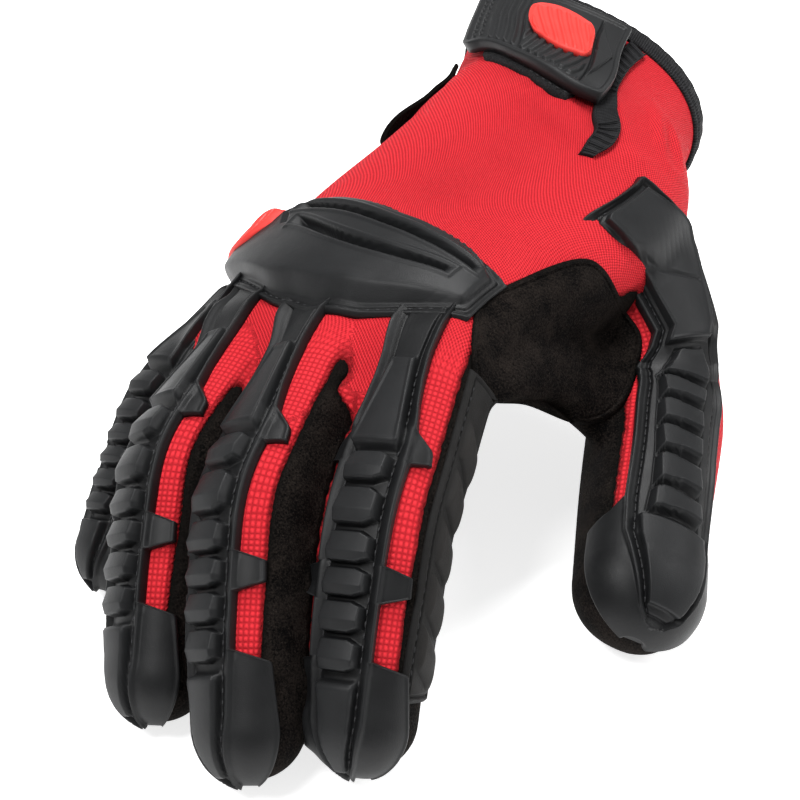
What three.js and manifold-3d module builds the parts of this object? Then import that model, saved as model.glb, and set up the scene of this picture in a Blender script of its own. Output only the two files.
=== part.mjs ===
// Impact glove for the right hand: a knit back and a suede palm sewn into one hollow hand,
// with moulded rubber guards on the knuckles, fingers and thumb, and a strapped cuff.
// Units are millimetres. The glove is shaped in the hand's own frame, +X towards the thumb,
// -Y towards the fingertips, +Z out of the back of the hand, with the middle knuckle at zero.
// At the end the hand is turned as it stands on its fingertips, with the cuff's mouth at zero.
import * as THREE from "three";
import { mergeVertices } from "three/addons/utils/BufferGeometryUtils.js";
import Module from "manifold-3d";

const wasm = await Module();
wasm.setup();

const DEG = Math.PI / 180;
const vec = (x, y, z) => new THREE.Vector3(x, y, z);

// How the hand stands: turned to the little finger's side, and leaning on it
const YAW = -30;
const ROLL = -16;

// Driving sizes of the fabric hand
const WALL = 1.6; // knit and suede
const SEAT_GAP = 0.3; // between pieces that touch
const SEAM_GAP = 0.35; // between the fabric panels
const HAND_LENGTH = 140; // from the cuff's mouth to the middle knuckle
const WEB_REACH = 20; // from the middle knuckle to the webs between the fingers
const PALM_WIDTH = 92; // over the knuckles
const PALM_THICKNESS = 34;
const WEB_THICKNESS = 15; // of the web between the palm and the thumb

// Driving sizes of the guards
const FLANGE_THICKNESS = 1.3;
const BLOCK_HEIGHT = 3.6; // of the blocks above the fabric
const SLOT_WIDTH = 1.9; // between two blocks
const GUARD_ROOM = 1.2; // between a guard and the sewn patches beside it
const TIP_MARGIN = 3; // from a guard's end to the middle of the fingertip
const KNUCKLE_GUARD_HEIGHT = 6.5;
const PATCH_THICKNESS = 1.1; // of the sewn suede patches
const CHEVRON_HEIGHT = 1.9; // of the slanting ribs on the index finger's side

// Driving sizes of the cuff
const STRAP_THICKNESS = 2.6;
const LOOP_THICKNESS = 1.4;
const BINDING_WIDTH = 6;
const BINDING_THICKNESS = 1;
const TAPE_WIDTH = 7;
const TAPE_THICKNESS = 1.3;
const BADGE_THICKNESS = 1.2; // of the plain red badges
const TAB_WIDTH = 14;
const TAB_LENGTH = 30;
const TAB_THICKNESS = 1.6;

// Each finger: its knuckle, its spread and roll, how far its back is turned on it, the bend at
// each joint in degrees, its bones, its width, and where its guard starts, has its first slot and
// its pitch of blocks.
const FINGERS = [
  {
    name: "index", knuckle: [25, 2, -3], spread: 6, roll: -2, turn: 3, bends: [27, 19, 7],
    bones: [46, 27, 27], width: 26, neck: 11, slot: 36, pitch: 7.1,
  },
  {
    name: "middle", knuckle: [0, 0, -0.5], spread: -1, roll: 14, turn: 6, bends: [19, 27, 5],
    bones: [51, 31, 28], width: 26, neck: 13, slot: 41, pitch: 7.5,
  },
  {
    name: "ring", knuckle: [-22.5, 4, -2.5], spread: -3.5, roll: 16, turn: 7, bends: [13, 30, 4],
    bones: [47, 30, 28], width: 24, neck: 13, slot: 40, pitch: 7.2,
  },
  {
    name: "little", knuckle: [-39.5, 19.5, -7], spread: -8.5, roll: 7, turn: 0, bends: [11, 24, 0],
    bones: [37, 22, 26], width: 21, neck: 12, slot: 35, pitch: 5.8,
  },
];

// The thumb starts at the wrist; each bone has its own heading and its own back.
const THUMB = {
  name: "thumb",
  turn: 0,
  knuckle: [27, 80, -14],
  headings: [[0.43, -0.55, -0.71], [0.28, -0.94, -0.19], [0.25, -0.93, -0.27]],
  backs: [[0.56, -0.34, 0.74], [0.78, 0.22, 0.74], [0.78, 0.14, 0.74]],
  bones: [49, 38, 36],
  width: 34, neck: -5, slot: 36, pitch: 10.2, knit: 5.2,
};

// How a digit's girth changes along it: share of its length, then half width, height over the
// centre line and depth under it as shares of its half width.
const FINGER_SECTIONS = [
  { at: -0.14, side: 0.8, top: 0.72, under: 0.74 },
  { at: 0.0, side: 0.96, top: 0.84, under: 0.9 },
  { at: 0.22, side: 1.0, top: 0.9, under: 0.98 },
  { at: 0.46, side: 1.0, top: 0.94, under: 0.94 },
  { at: 0.7, side: 0.95, top: 0.88, under: 0.92 },
  { at: 0.87, side: 0.87, top: 0.8, under: 0.86 },
];
const THUMB_SECTIONS = [
  { at: -0.21, side: 0.5, top: 0.5, under: 0.5 },
  { at: -0.13, side: 0.9, top: 0.96, under: 0.85 },
  { at: 0.12, side: 1.0, top: 1.0, under: 1.0 },
  { at: 0.38, side: 1.04, top: 0.98, under: 1.04 },
  { at: 0.66, side: 0.98, top: 0.92, under: 0.98 },
  { at: 0.88, side: 0.88, top: 0.78, under: 0.86 },
];

// The hand from cuff to webs: share of the way, half width and half thickness as shares of the
// palm's, how far the section's centre lies towards the thumb and the back, as shares of the
// palm's half width, and the section's turn in degrees, which lowers its thumb side.
const PALM_SECTIONS = [
  { at: 0.0, side: 0.79, thick: 1.52, x: -0.17, z: -0.05, turn: 30 },
  { at: 0.12, side: 0.76, thick: 1.44, x: -0.05, z: -0.05, turn: 29 },
  { at: 0.26, side: 0.81, thick: 1.36, x: 0.14, z: -0.07, turn: 26 },
  { at: 0.42, side: 0.92, thick: 1.28, x: 0.15, z: -0.12, turn: 18 },
  { at: 0.6, side: 0.98, thick: 1.22, x: 0.03, z: -0.13, turn: 8 },
  { at: 0.75, side: 0.93, thick: 1.12, x: -0.05, z: -0.12, turn: 2 },
  { at: 0.86, side: 0.89, thick: 0.98, x: -0.06, z: -0.12, turn: 0 },
  { at: 0.94, side: 0.85, thick: 0.8, x: -0.08, z: -0.14, turn: 0 },
  { at: 1.0, side: 0.76, thick: 0.55, x: -0.08, z: -0.19, turn: 0 },
];

// The web between the palm and the thumb, as a fan of slices: each runs from a hidden point to
// a point of its free edge, both in the hand's frame as shares of the palm's half width.
const WEB_ROOT = [0.45, 1.25, -0.35];
const WEB_EDGE = [
  [0.5, -0.12, -0.15],
  [0.84, -0.12, -0.24],
  [0.9, 0.1, -0.38],
  [0.92, 0.34, -0.56],
  [0.98, 0.48, -0.8],
  [1.12, 0.55, -1.02],
  [1.12, 0.95, -1.1],
];

// A finger guard's flange: place, where -1 is its neck, 0 its first slot, 6 its last one and 7
// its end, then the half width as a share of the finger's.
const GUARD_FLANGE = [
  { at: -1.3, half: 0.18 },
  { at: -1.0, half: 0.22 },
  { at: -0.75, half: 0.36 },
  { at: -0.3, half: 0.66 },
  { at: -0.16, half: 1.02 },
  { at: 0.1, half: 1.08 },
  { at: 0.35, half: 0.68 },
  { at: 2.9, half: 0.62 },
  { at: 3.2, half: 1.08 },
  { at: 3.8, half: 1.1 },
  { at: 4.1, half: 0.62 },
  { at: 5.6, half: 0.62 },
  { at: 5.9, half: 1.3 },
  { at: 6.5, half: 1.5 },
  { at: 7.0, half: 1.5 },
];
// The raised plate before the blocks and the one after them, with heights as shares of a block's
const GUARD_PLATE = [
  { at: -0.95, half: 0.1, high: 0.5 },
  { at: -0.9, half: 0.15, high: 0.75 },
  { at: -0.3, half: 0.44, high: 1.0 },
  { at: -0.04, half: 0.38, high: 1.0 },
];
const GUARD_TIP = [
  { at: 6.06, half: 0.42, high: 0.95 },
  { at: 6.5, half: 0.34, high: 0.75 },
  { at: 6.74, half: 0.22, high: 0.5 },
];
const BLOCK_HALF = 0.4; // of a block, as a share of the finger's half width

const THUMB_FLANGE = [
  { at: -1.0, half: 0.55 },
  { at: -0.9, half: 0.95 },
  { at: -0.4, half: 0.95 },
  { at: -0.1, half: 0.84 },
  { at: 5.6, half: 0.78 },
  { at: 5.9, half: 1.4 },
  { at: 6.6, half: 1.55 },
  { at: 7.0, half: 1.5 },
];
const THUMB_PLATE = [
  { at: -0.94, half: 0.45, high: 0.5 },
  { at: -0.86, half: 0.78, high: 0.8 },
  { at: -0.4, half: 0.8, high: 1.0 },
  { at: -0.04, half: 0.56, high: 1.0 },
];
const THUMB_ROOT_DEPTH = 12; // that the thumb's root may lie within the palm
const THUMB_TIP = [
  { at: 6.06, half: 0.56, high: 0.95 },
  { at: 6.5, half: 0.42, high: 0.75 },
  { at: 6.78, half: 0.26, high: 0.5 },
];

// The knuckle guard from the little finger's side to the index finger's: angle about the hand in
// degrees, then the rear and front edges as shares of the hand's length from the middle knuckle.
const KNUCKLE_FLANGE = [
  { at: -94, rear: 0.25, front: 0.16, high: 0.3 },
  { at: -66, rear: 0.25, front: 0.03, high: 0.3 },
  { at: -45, rear: 0.262, front: -0.025, high: 0.3 },
  { at: -20, rear: 0.246, front: -0.045, high: 0.3 },
  { at: 10, rear: 0.216, front: -0.058, high: 0.3 },
  { at: 35, rear: 0.196, front: -0.053, high: 0.3 },
  { at: 55, rear: 0.165, front: -0.035, high: 0.3 },
  { at: 74, rear: 0.12, front: 0.0, high: 0.3 },
];
const KNUCKLE_BAR = [
  { at: -92, rear: 0.232, front: 0.175, high: 0.5 },
  { at: -86, rear: 0.24, front: 0.14, high: 0.9 },
  { at: -66, rear: 0.24, front: 0.06, high: 1.0 },
  { at: -45, rear: 0.252, front: 0.0, high: 1.0 },
  { at: -20, rear: 0.236, front: -0.02, high: 1.0 },
  { at: 10, rear: 0.206, front: -0.033, high: 1.0 },
  { at: 35, rear: 0.186, front: -0.03, high: 1.0 },
  { at: 55, rear: 0.155, front: -0.01, high: 0.9 },
  { at: 70, rear: 0.11, front: 0.02, high: 0.6 },
];
const KNUCKLE_SLOTS = [
  [
    { at: -52, rear: 0.222, front: 0.2 },
    { at: -20, rear: 0.19, front: 0.165 },
    { at: 10, rear: 0.16, front: 0.135 },
    { at: 40, rear: 0.135, front: 0.115 },
    { at: 60, rear: 0.11, front: 0.1 },
  ],
  [
    { at: -54, rear: 0.16, front: 0.14 },
    { at: -20, rear: 0.115, front: 0.09 },
    { at: 10, rear: 0.085, front: 0.062 },
    { at: 40, rear: 0.075, front: 0.06 },
    { at: 54, rear: 0.075, front: 0.066 },
  ],
];
const KNUCKLE_SLOT_DEPTH = 2.2;
const KNUCKLE_DEPTH = 1.2; // that it is drawn into the fabric, before the fabric's seat is cut
const ROUND_STEP = 12; // degrees between the rows of a piece that lies across the hand

// Facets about and along the fabric, and about and along its hollow
const OUTSIDE = { digitSides: 8, digitRings: 6, palmSides: 16, palmRings: 7, webRings: 5 };
const INSIDE = { digitSides: 6, digitRings: 5, palmSides: 12, palmRings: 5, webRings: 3 };
const SQUARENESS = 2.35; // of the sections, where 2 is an ellipse

// The suede patch that is sewn over the thumb's web: its outline as shares of the palm's half
// width, and the way out of the hand there
const WEB_PATCH = [
  [0.65, 0.2, 0.05],
  [0.78, 0.45, 0.1],
  [0.9, 0.95, -0.05],
  [1.02, 1.02, -0.35],
  [1.12, 0.98, -0.55],
  [1.1, 0.7, -0.75],
  [0.98, 0.45, -0.75],
  [0.9, 0.1, -0.42],
  [0.8, -0.15, -0.2],
];
const WEB_OUT = [0.55, -0.69, 0.47];
const WEB_PATCH_REACH = [0.35, 0.2]; // of its cut, out of the hand and into it

// The patch on the index finger's side, in degrees from the back and shares of the finger's
// length, and its slanting ribs
const SIDE_PATCH = { from: 66, to: 120, first: 0.1, last: 0.84 };
const SIDE_RIBS = { count: 5, first: 0.24, pitch: 0.115, slant: 0.1, half: 0.036, from: 0.08, to: 0.9 };

// The cuff's pieces: angle about the wrist in degrees, and edges as shares of the hand's length.
// Pieces that lie on one another begin and end at whole round steps, so that their facets nest.
const STRAP = [
  { at: -68, rear: 0.97, front: 0.75 },
  { at: -57, rear: 0.965, front: 0.735 },
  { at: -40, rear: 0.955, front: 0.7 },
  { at: -15, rear: 0.945, front: 0.66 },
  { at: 5, rear: 0.95, front: 0.65 },
  { at: 17, rear: 0.955, front: 0.66 },
];
const STRAP_RIM = 0.9; // share of the strap's width that stays at full height
const LOOP = [
  { at: -60, rear: 0.9, front: 0.705 },
  { at: -40, rear: 0.9, front: 0.67 },
  { at: -10, rear: 0.9, front: 0.635 },
  { at: 0, rear: 0.9, front: 0.63 },
];
const TAPE_PATH = [[25, 0.95], [20, 0.85], [16, 0.74], [22, 0.665], [32, 0.61], [36, 0.53]];
const STRAP_BADGE = [
  { at: -36, rear: 0.87, front: 0.82 },
  { at: -28, rear: 0.89, front: 0.765 },
  { at: -8, rear: 0.88, front: 0.745 },
  { at: 0, rear: 0.85, front: 0.76 },
];
const KNUCKLE_BADGE = [
  { at: -84, rear: 0.215, front: 0.175 },
  { at: -78, rear: 0.225, front: 0.16 },
  { at: -66, rear: 0.228, front: 0.15 },
  { at: -60, rear: 0.215, front: 0.175 },
];
// The pull tab lies along the little finger's side of the wrist and stands off at its free end
const TAB_ANGLE = -88;
const TAB_ROOT = 0.77; // share of the hand's length
const TAB_LIFT = 2.5; // of its free end

const KNIT_HALF = 62; // degrees from a finger's back to the edge of its knit
const KNIT_HALF_PALM = 92; // and from the hand's back
const KNIT_BLOCKS = 6.3; // pitches of blocks from the first slot to the end of a finger's knit
const SECTOR_MARGIN = 0.8; // of a cutting wedge past the surface that it cuts

// Solids and meshes

function solidOf(geometry) {
  const bare = geometry.clone();
  bare.deleteAttribute("normal");
  bare.deleteAttribute("uv");
  const merged = mergeVertices(bare, 1e-4);
  const vertProperties = merged.attributes.position.array;
  const made = (triVerts) => new wasm.Manifold(new wasm.Mesh({ numProp: 3, vertProperties, triVerts }));
  const triVerts = new Uint32Array(merged.index.array);
  const solid = made(triVerts);
  if (solid.volume() >= 0) return solid;
  return made(triVerts.reverse());
}

function geometryOf(solid) {
  const mesh = solid.getMesh();
  const geometry = new THREE.BufferGeometry();
  geometry.setAttribute("position", new THREE.BufferAttribute(mesh.vertProperties, 3));
  geometry.setIndex(new THREE.BufferAttribute(mesh.triVerts, 1));
  return geometry;
}

const joined = (solids) => wasm.Manifold.union(solids);

// The one body that a cut leaves, without the crumbs that rounding may part from it
function largest(solid) {
  const { vertProperties, triVerts } = solid.getMesh();
  const bodies = new wasm.Manifold(new wasm.Mesh({ numProp: 3, vertProperties, triVerts })).decompose();
  return bodies.reduce((a, b) => (b.volume() > a.volume() ? b : a));
}
const grownEnds = (places, by) => (by ? [places[0] - by, ...places, places[places.length - 1] + by] : places);
const middleOf = (points) => points.reduce((sum, p) => sum.add(p), vec(0, 0, 0)).divideScalar(points.length);

// A closed solid through rings that have the same number of points, with fanned ends
function loft(rings) {
  const count = rings[0].length;
  const positions = rings.flat().flatMap((p) => [p.x, p.y, p.z]);
  const index = [];
  for (let r = 0; r + 1 < rings.length; r++)
    for (let i = 0; i < count; i++) {
      const a = r * count + i;
      const b = r * count + ((i + 1) % count);
      index.push(a, b, b + count, a, b + count, a + count);
    }
  const cap = (ring, start, flip) => {
    const hub = positions.length / 3;
    const middle = middleOf(ring);
    positions.push(middle.x, middle.y, middle.z);
    for (let i = 0; i < count; i++) {
      const a = start + i;
      const b = start + ((i + 1) % count);
      if (flip) index.push(hub, b, a);
      else index.push(hub, a, b);
    }
  };
  cap(rings[0], 0, true);
  cap(rings[rings.length - 1], (rings.length - 1) * count, false);
  const geometry = new THREE.BufferGeometry();
  geometry.setAttribute("position", new THREE.Float32BufferAttribute(positions, 3));
  geometry.setIndex(index);
  return solidOf(geometry);
}

// Smooth values between the rows of a table

const clamp = (t) => Math.min(1, Math.max(0, t));
const ease = (t) => clamp(t) ** 2 * (3 - 2 * clamp(t));
const mix = (a, b, t) => a + (b - a) * t;
const steps = (from, to, count) => Array.from({ length: count + 1 }, (_, k) => mix(from, to, k / count));

function between(table, at, column) {
  let k = 0;
  while (k + 2 < table.length && at > table[k + 1].at) k++;
  const a = table[k];
  const b = table[k + 1];
  return mix(a[column], b[column], clamp((at - a.at) / (b.at - a.at)));
}

// The distance from a section's centre to its edge in the direction of an angle from the back
function reach(angle, side, top, under) {
  const c = Math.cos(angle);
  const height = c >= 0 ? top : under;
  const sum = Math.abs(c / height) ** SQUARENESS + Math.abs(Math.sin(angle) / side) ** SQUARENESS;
  return sum ** (-1 / SQUARENESS);
}

// A digit: a centre line that bends smoothly at its joints, with a section at each place along it.
// Places run on over the round tip, so a place and an angle name any point of the surface.
class Digit {
  constructor(row, sections, bendReach, rear) {
    Object.assign(this, row, { sections, rear });
    this.radius = row.width / 2;
    this.length = row.bones.reduce((a, b) => a + b);
    this.headed = row.headings ? this.freeBones(row) : this.planeBones(row);
    this.walk(bendReach);
    this.tipRadius = this.radius * between(sections, 0.9, "side");
    this.tipStart = this.length - this.tipRadius;
    this.end = this.tipStart + (this.tipRadius * Math.PI) / 2;
  }

  freeBones(row) {
    return row.headings.map((heading, k) => {
      const along = vec(...heading).normalize();
      const back = vec(...row.backs[k]);
      return { along, back: back.addScaledVector(along, -back.dot(along)).normalize() };
    });
  }

  planeBones(row) {
    const spread = row.spread * DEG;
    const forward = vec(Math.sin(spread), -Math.cos(spread), 0);
    const back = vec(0, 0, 1).applyAxisAngle(forward, row.roll * DEG);
    const turned = (angle) => ({
      along: forward.clone().multiplyScalar(Math.cos(angle)).addScaledVector(back, -Math.sin(angle)),
      back: forward.clone().multiplyScalar(Math.sin(angle)).addScaledVector(back, Math.cos(angle)),
    });
    let angle = 0;
    return [turned(0), ...row.bends.map((bend) => turned((angle += bend * DEG)))];
  }

  // Centre points every millimetre, from behind the knuckle to the tip
  walk(bendReach) {
    const free = this.headed.length === this.bones.length;
    const places = this.headed.slice(1).map((_, k) => {
      const passed = this.bones.slice(0, free ? k + 1 : k);
      return passed.reduce((a, b) => a + b, 0);
    });
    const blend = (key, u) =>
      places.reduce(
        (sum, place, k) => sum.lerp(this.headed[k + 1][key], ease((u - place) / (2 * bendReach[k]) + 0.5)),
        this.headed[0][key].clone(),
      );
    this.samples = [];
    const centre = vec(0, 0, 0);
    for (let u = -this.rear; u <= this.length + 4; u++) {
      const along = blend("along", u).normalize();
      const back = blend("back", u);
      back.addScaledVector(along, -back.dot(along)).normalize().applyAxisAngle(along, this.turn * DEG);
      this.samples.push({ u, centre: centre.clone(), along, back });
      centre.add(along);
    }
    const slip = vec(...this.knuckle).sub(this.samples[this.rear].centre);
    for (const sample of this.samples) sample.centre.add(slip);
  }

  frame(u) {
    const k = Math.min(this.samples.length - 2, Math.max(0, Math.floor(u) + this.rear));
    const a = this.samples[k];
    const b = this.samples[k + 1];
    const along = a.along.clone().lerp(b.along, u - a.u).normalize();
    const back = a.back.clone().lerp(b.back, u - a.u).normalize();
    return { centre: a.centre.clone().lerp(b.centre, u - a.u), along, back, side: back.clone().cross(along) };
  }

  // The point of the surface at a place and an angle from the back, raised by a height
  point(u, angle, height) {
    const straight = Math.min(u, this.tipStart);
    const over = Math.max(0, u - this.tipStart) / this.tipRadius;
    const size = (column) => this.radius * between(this.sections, straight / this.length, column);
    const frame = this.frame(straight);
    const ray = frame.back.clone().multiplyScalar(Math.cos(angle)).addScaledVector(frame.side, Math.sin(angle));
    const out = reach(angle, size("side"), size("top"), size("under")) + height;
    return frame.centre
      .addScaledVector(ray, out * Math.cos(over))
      .addScaledVector(frame.along, (this.tipRadius + height) * Math.sin(over));
  }

  solid(height, facets) {
    const places = steps(-this.rear, this.tipStart, facets.digitRings);
    for (const share of [0.4, 0.8]) places.push(mix(this.tipStart, this.end, share));
    const angles = steps(0, 2 * Math.PI, facets.digitSides).slice(1);
    return loft(places.map((u) => angles.map((angle) => this.point(u, angle, height))));
  }

  // A wedge from the centre line out past the surface; each row gives its place and its angles
  wedge(rows) {
    return loft(
      rows.map((row) => [
        this.frame(Math.min(row.at, this.tipStart)).centre,
        ...steps(row.from, row.to, 6).map((angle) => this.point(row.at, angle, row.margin)),
      ]),
    );
  }

  // The wedge within an angle, in degrees, of the back, between two places, grown on all sides
  sector(half, first, last, grow) {
    const edge = half * DEG + grow / this.radius;
    const places = grownEnds(steps(first, last, 6), grow);
    const margin = SECTOR_MARGIN + 2 * grow;
    return this.wedge(places.map((at) => ({ at, from: -edge, to: edge, margin })));
  }
}

// The palm: a row of rounded sections from the cuff to the webs
const halfPalm = PALM_WIDTH / 2;
const palmLength = HAND_LENGTH + WEB_REACH;

function palmCentre(at) {
  return vec(
    halfPalm * between(PALM_SECTIONS, at, "x"),
    HAND_LENGTH - palmLength * at,
    halfPalm * between(PALM_SECTIONS, at, "z"),
  );
}

function palmPoint(at, angle, height) {
  const side = halfPalm * between(PALM_SECTIONS, at, "side");
  const thick = (PALM_THICKNESS / 2) * between(PALM_SECTIONS, at, "thick");
  const out = reach(angle, side, thick, thick) + height;
  const turned = angle + between(PALM_SECTIONS, at, "turn") * DEG;
  return palmCentre(at).add(vec(out * Math.sin(turned), 0, out * Math.cos(turned)));
}

// The palm's surface by degrees from the back and by millimetres behind the middle knuckle
const palmAt = (y) => (HAND_LENGTH - y) / palmLength;
const onPalm = (degrees, y, height) => palmPoint(palmAt(y), degrees * DEG, height);

function palmSolid(height, past, facets) {
  const angles = steps(0, 2 * Math.PI, facets.palmSides).slice(1);
  const rings = steps(0, 1, facets.palmRings).map((at) => angles.map((angle) => palmPoint(at, angle, height)));
  if (past) rings.unshift(rings[0].map((p) => p.clone().setY(p.y + past)));
  const front = rings[rings.length - 1];
  const middle = middleOf(front);
  rings.push(front.map((p) => p.clone().lerp(middle, 0.4).setY(p.y - 4 - height)));
  return loft(rings);
}

function palmSector(half, grow) {
  const edge = half * DEG + grow / halfPalm;
  const rings = grownEnds(steps(-0.05, 1.03, 8), grow / palmLength).map((at) => {
    const shift = vec(0, -palmLength * (at - clamp(at)), 0);
    const margin = SECTOR_MARGIN + 2 * grow;
    const arc = steps(-edge, edge, 14).map((angle) => palmPoint(clamp(at), angle, margin));
    return [palmCentre(clamp(at)), ...arc].map((p) => p.add(shift));
  });
  return loft(rings);
}

// The thumb's web: slices from the root to the free edge, each a flat ellipse in its own plane
function webSolid(height, facets) {
  const root = vec(...WEB_ROOT).multiplyScalar(halfPalm);
  const edge = new THREE.CatmullRomCurve3(WEB_EDGE.map((p) => vec(...p).multiplyScalar(halfPalm)));
  const rings = steps(0, 1, facets.webRings).map((t) => {
    const tip = edge.getPoint(t);
    const along = tip.clone().sub(root);
    const reachOut = along.length() / 2 + height;
    const through = edge.getTangent(t).cross(along).normalize();
    const middle = root.clone().lerp(tip, 0.5);
    along.normalize();
    return steps(0, 2 * Math.PI, facets.digitSides).slice(1).map((angle) =>
      middle
        .clone()
        .addScaledVector(along, reachOut * Math.cos(angle))
        .addScaledVector(through, (WEB_THICKNESS / 2 + height) * Math.sin(angle)),
    );
  });
  return loft(rings);
}

const fingers = FINGERS.map((row) => new Digit(row, FINGER_SECTIONS, [14, 9, 8], 18));
const [index] = fingers;
const thumb = new Digit(THUMB, THUMB_SECTIONS, [12, 9], 26);
const digits = [...fingers, thumb];

function handSolid(height, past, facets) {
  return largest(
    joined([
      palmSolid(height, past, facets),
      webSolid(height, facets),
      ...digits.map((digit) => digit.solid(height, facets)),
    ]),
  );
}

const outer = handSolid(0, 0, OUTSIDE);
const hollow = handSolid(-WALL, 10, INSIDE);
const seat = handSolid(SEAT_GAP, 10, OUTSIDE);
const shell = outer.subtract(hollow);
const flangeSkin = handSolid(SEAT_GAP + FLANGE_THICKNESS, 0, OUTSIDE).subtract(seat);
const blockSkin = handSolid(BLOCK_HEIGHT, 0, OUTSIDE).subtract(seat);

// The fabric panels: the knit takes the back, and the suede what is left but for the seam's gap

function backRegion(grow) {
  const knitEnd = (digit) => digit.slot + (digit.knit ?? KNIT_BLOCKS) * digit.pitch;
  const digitBack = (digit) => digit.sector(KNIT_HALF, -digit.rear, knitEnd(digit), grow);
  return joined([palmSector(KNIT_HALF_PALM, grow), ...digits.map(digitBack)]);
}

const knit = largest(shell.intersect(backRegion(0)));
const suede = largest(shell.subtract(backRegion(SEAM_GAP)));

// Raised work: a profile across the surface, drawn at each row of a table.
// A row gives the place, the middle, the half width and the height; crown is the share of the
// width that stays at full height, and low is where the profile starts above the surface.

function raised(map, rows, low, columns, crown) {
  const [under, over] = columns;
  const rings = rows.map((row) => [
    ...steps(-1, 1, under).map((s) => map(row.at, row.mid + row.half * s, low)),
    ...steps(crown, -crown, over).map((s) => map(row.at, row.mid + row.half * s, row.high)),
  ]);
  return loft(rings);
}

// A piece across the palm or the wrist: its table is read at round angles, so it follows the hand.
// grow widens it on all sides; high is the height of a row whose share is 1.
function across(table, { grow = 0, low, high, columns, crown }) {
  const first = table[0].at;
  const last = table[table.length - 1].at;
  const count = Math.round(360 / ROUND_STEP);
  const inner = steps(-180, 180, count).filter((at) => at > first + ROUND_STEP / 4 && at < last - ROUND_STEP / 4);
  const rows = [first, ...inner, last].map((at) => {
    const [rear, front] = [between(table, at, "rear"), between(table, at, "front")];
    const share = table[0].high ? between(table, at, "high") : 1;
    const mid = (HAND_LENGTH * (rear + front)) / 2;
    return { at, mid, half: (HAND_LENGTH * (rear - front)) / 2 + grow, high: high * share + grow };
  });
  const turn = grow / halfPalm / DEG;
  rows[0].at -= turn;
  rows[rows.length - 1].at += turn;
  return raised(onPalm, rows, low - grow, [columns, columns], crown);
}

function knuckleSolid(grow) {
  const low = -KNUCKLE_DEPTH;
  const high = KNUCKLE_GUARD_HEIGHT;
  const flange = across(KNUCKLE_FLANGE, { grow, low, high, columns: 3, crown: 1 });
  const bar = across(KNUCKLE_BAR, { grow, low, high, columns: 3, crown: 0.8 });
  if (grow) return flange.add(bar);
  const slot = (table) =>
    across(table, { low: high - KNUCKLE_SLOT_DEPTH, high: high + SEAT_GAP, columns: 2, crown: 1 });
  return flange.add(bar.subtract(joined(KNUCKLE_SLOTS.map(slot))));
}
const knuckleGuard = largest(knuckleSolid(0).subtract(seat));
const knuckleClearance = knuckleSolid(SEAT_GAP);

// A digit's guard: flange, plate, blocks and tip plate

function guardPlace(digit, at) {
  if (at <= 0) return mix(digit.neck, digit.slot, at + 1);
  if (at <= 6) return digit.slot + digit.pitch * at;
  return mix(digit.slot + digit.pitch * 6, digit.end - TIP_MARGIN, at - 6);
}

// The wedge of a guard's outline; buried is how deep its rear lies within the palm
function guardWedge(digit, rows, { height, buried, by = 0, edge = 0 }) {
  return digit.wedge(
    rows.map((row) => ({
      at: guardPlace(digit, row.at) + by,
      from: -row.half - edge,
      to: row.half + edge,
      margin: height + SECTOR_MARGIN + buried * clamp(-row.at),
    })),
  );
}

function guardOf(digit, { flange, plate, tip, columns, buried = 0 }) {
  const placeOf = (at) => guardPlace(digit, at);
  const map = (u, v, w) => digit.point(u, v, w);
  const base = SEAT_GAP + FLANGE_THICKNESS;
  const rowOf = (row) => ({ at: placeOf(row.at), mid: 0, half: row.half, high: mix(base, BLOCK_HEIGHT, row.high) });
  const slotHalf = SLOT_WIDTH / 2 / digit.pitch;
  const blocks = steps(0, 5, 5).flatMap((k) => [
    { at: k, half: BLOCK_HALF, high: 0.1 },
    { at: k + slotHalf, half: BLOCK_HALF, high: 0.85 },
    { at: k + 1 - slotHalf, half: BLOCK_HALF, high: 1 },
  ]);
  blocks.push({ at: 6, half: BLOCK_HALF, high: 0.1 });
  const body = raised(map, [...plate, ...blocks, ...tip].map(rowOf), base - FLANGE_THICKNESS / 2, columns, 0.62);
  const cut = (skin, rows, height) => skin.intersect(guardWedge(digit, rows, { height, buried }));
  const pieces = [cut(flangeSkin, flange, base), body.subtract(seat)];
  if (buried) pieces.push(cut(blockSkin, plate, BLOCK_HEIGHT));
  return largest(joined(pieces).subtract(knuckleClearance));
}

const fingerForm = { flange: GUARD_FLANGE, plate: GUARD_PLATE, tip: GUARD_TIP, columns: [2, 1] };
const thumbForm = { flange: THUMB_FLANGE, plate: THUMB_PLATE, tip: THUMB_TIP, columns: [3, 2], buried: THUMB_ROOT_DEPTH };
const fingerGuards = fingers.map((digit) => guardOf(digit, fingerForm));
const thumbGuard = guardOf(thumb, thumbForm);

// Sewn patches, cut from a skin over the fabric

const patchSkin = handSolid(SEAT_GAP + PATCH_THICKNESS, 0, OUTSIDE).subtract(seat);

const clearOf = (solid, cuts) => largest(solid.subtract(joined(cuts)));

// What a guard takes up, with a gap on all sides
function guardClearance(digit, { flange, plate, buried = 0 }) {
  const edge = GUARD_ROOM / digit.radius;
  const wedges = (rows, height) =>
    [-SEAT_GAP, 0, SEAT_GAP].map((by) => guardWedge(digit, rows, { height, buried, by, edge }));
  const [thin, thick] = [SEAT_GAP + FLANGE_THICKNESS, SEAT_GAP + BLOCK_HEIGHT];
  return joined([...wedges(flange, thin), ...wedges(flange, thick), ...wedges(plate, thick)]);
}

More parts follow.
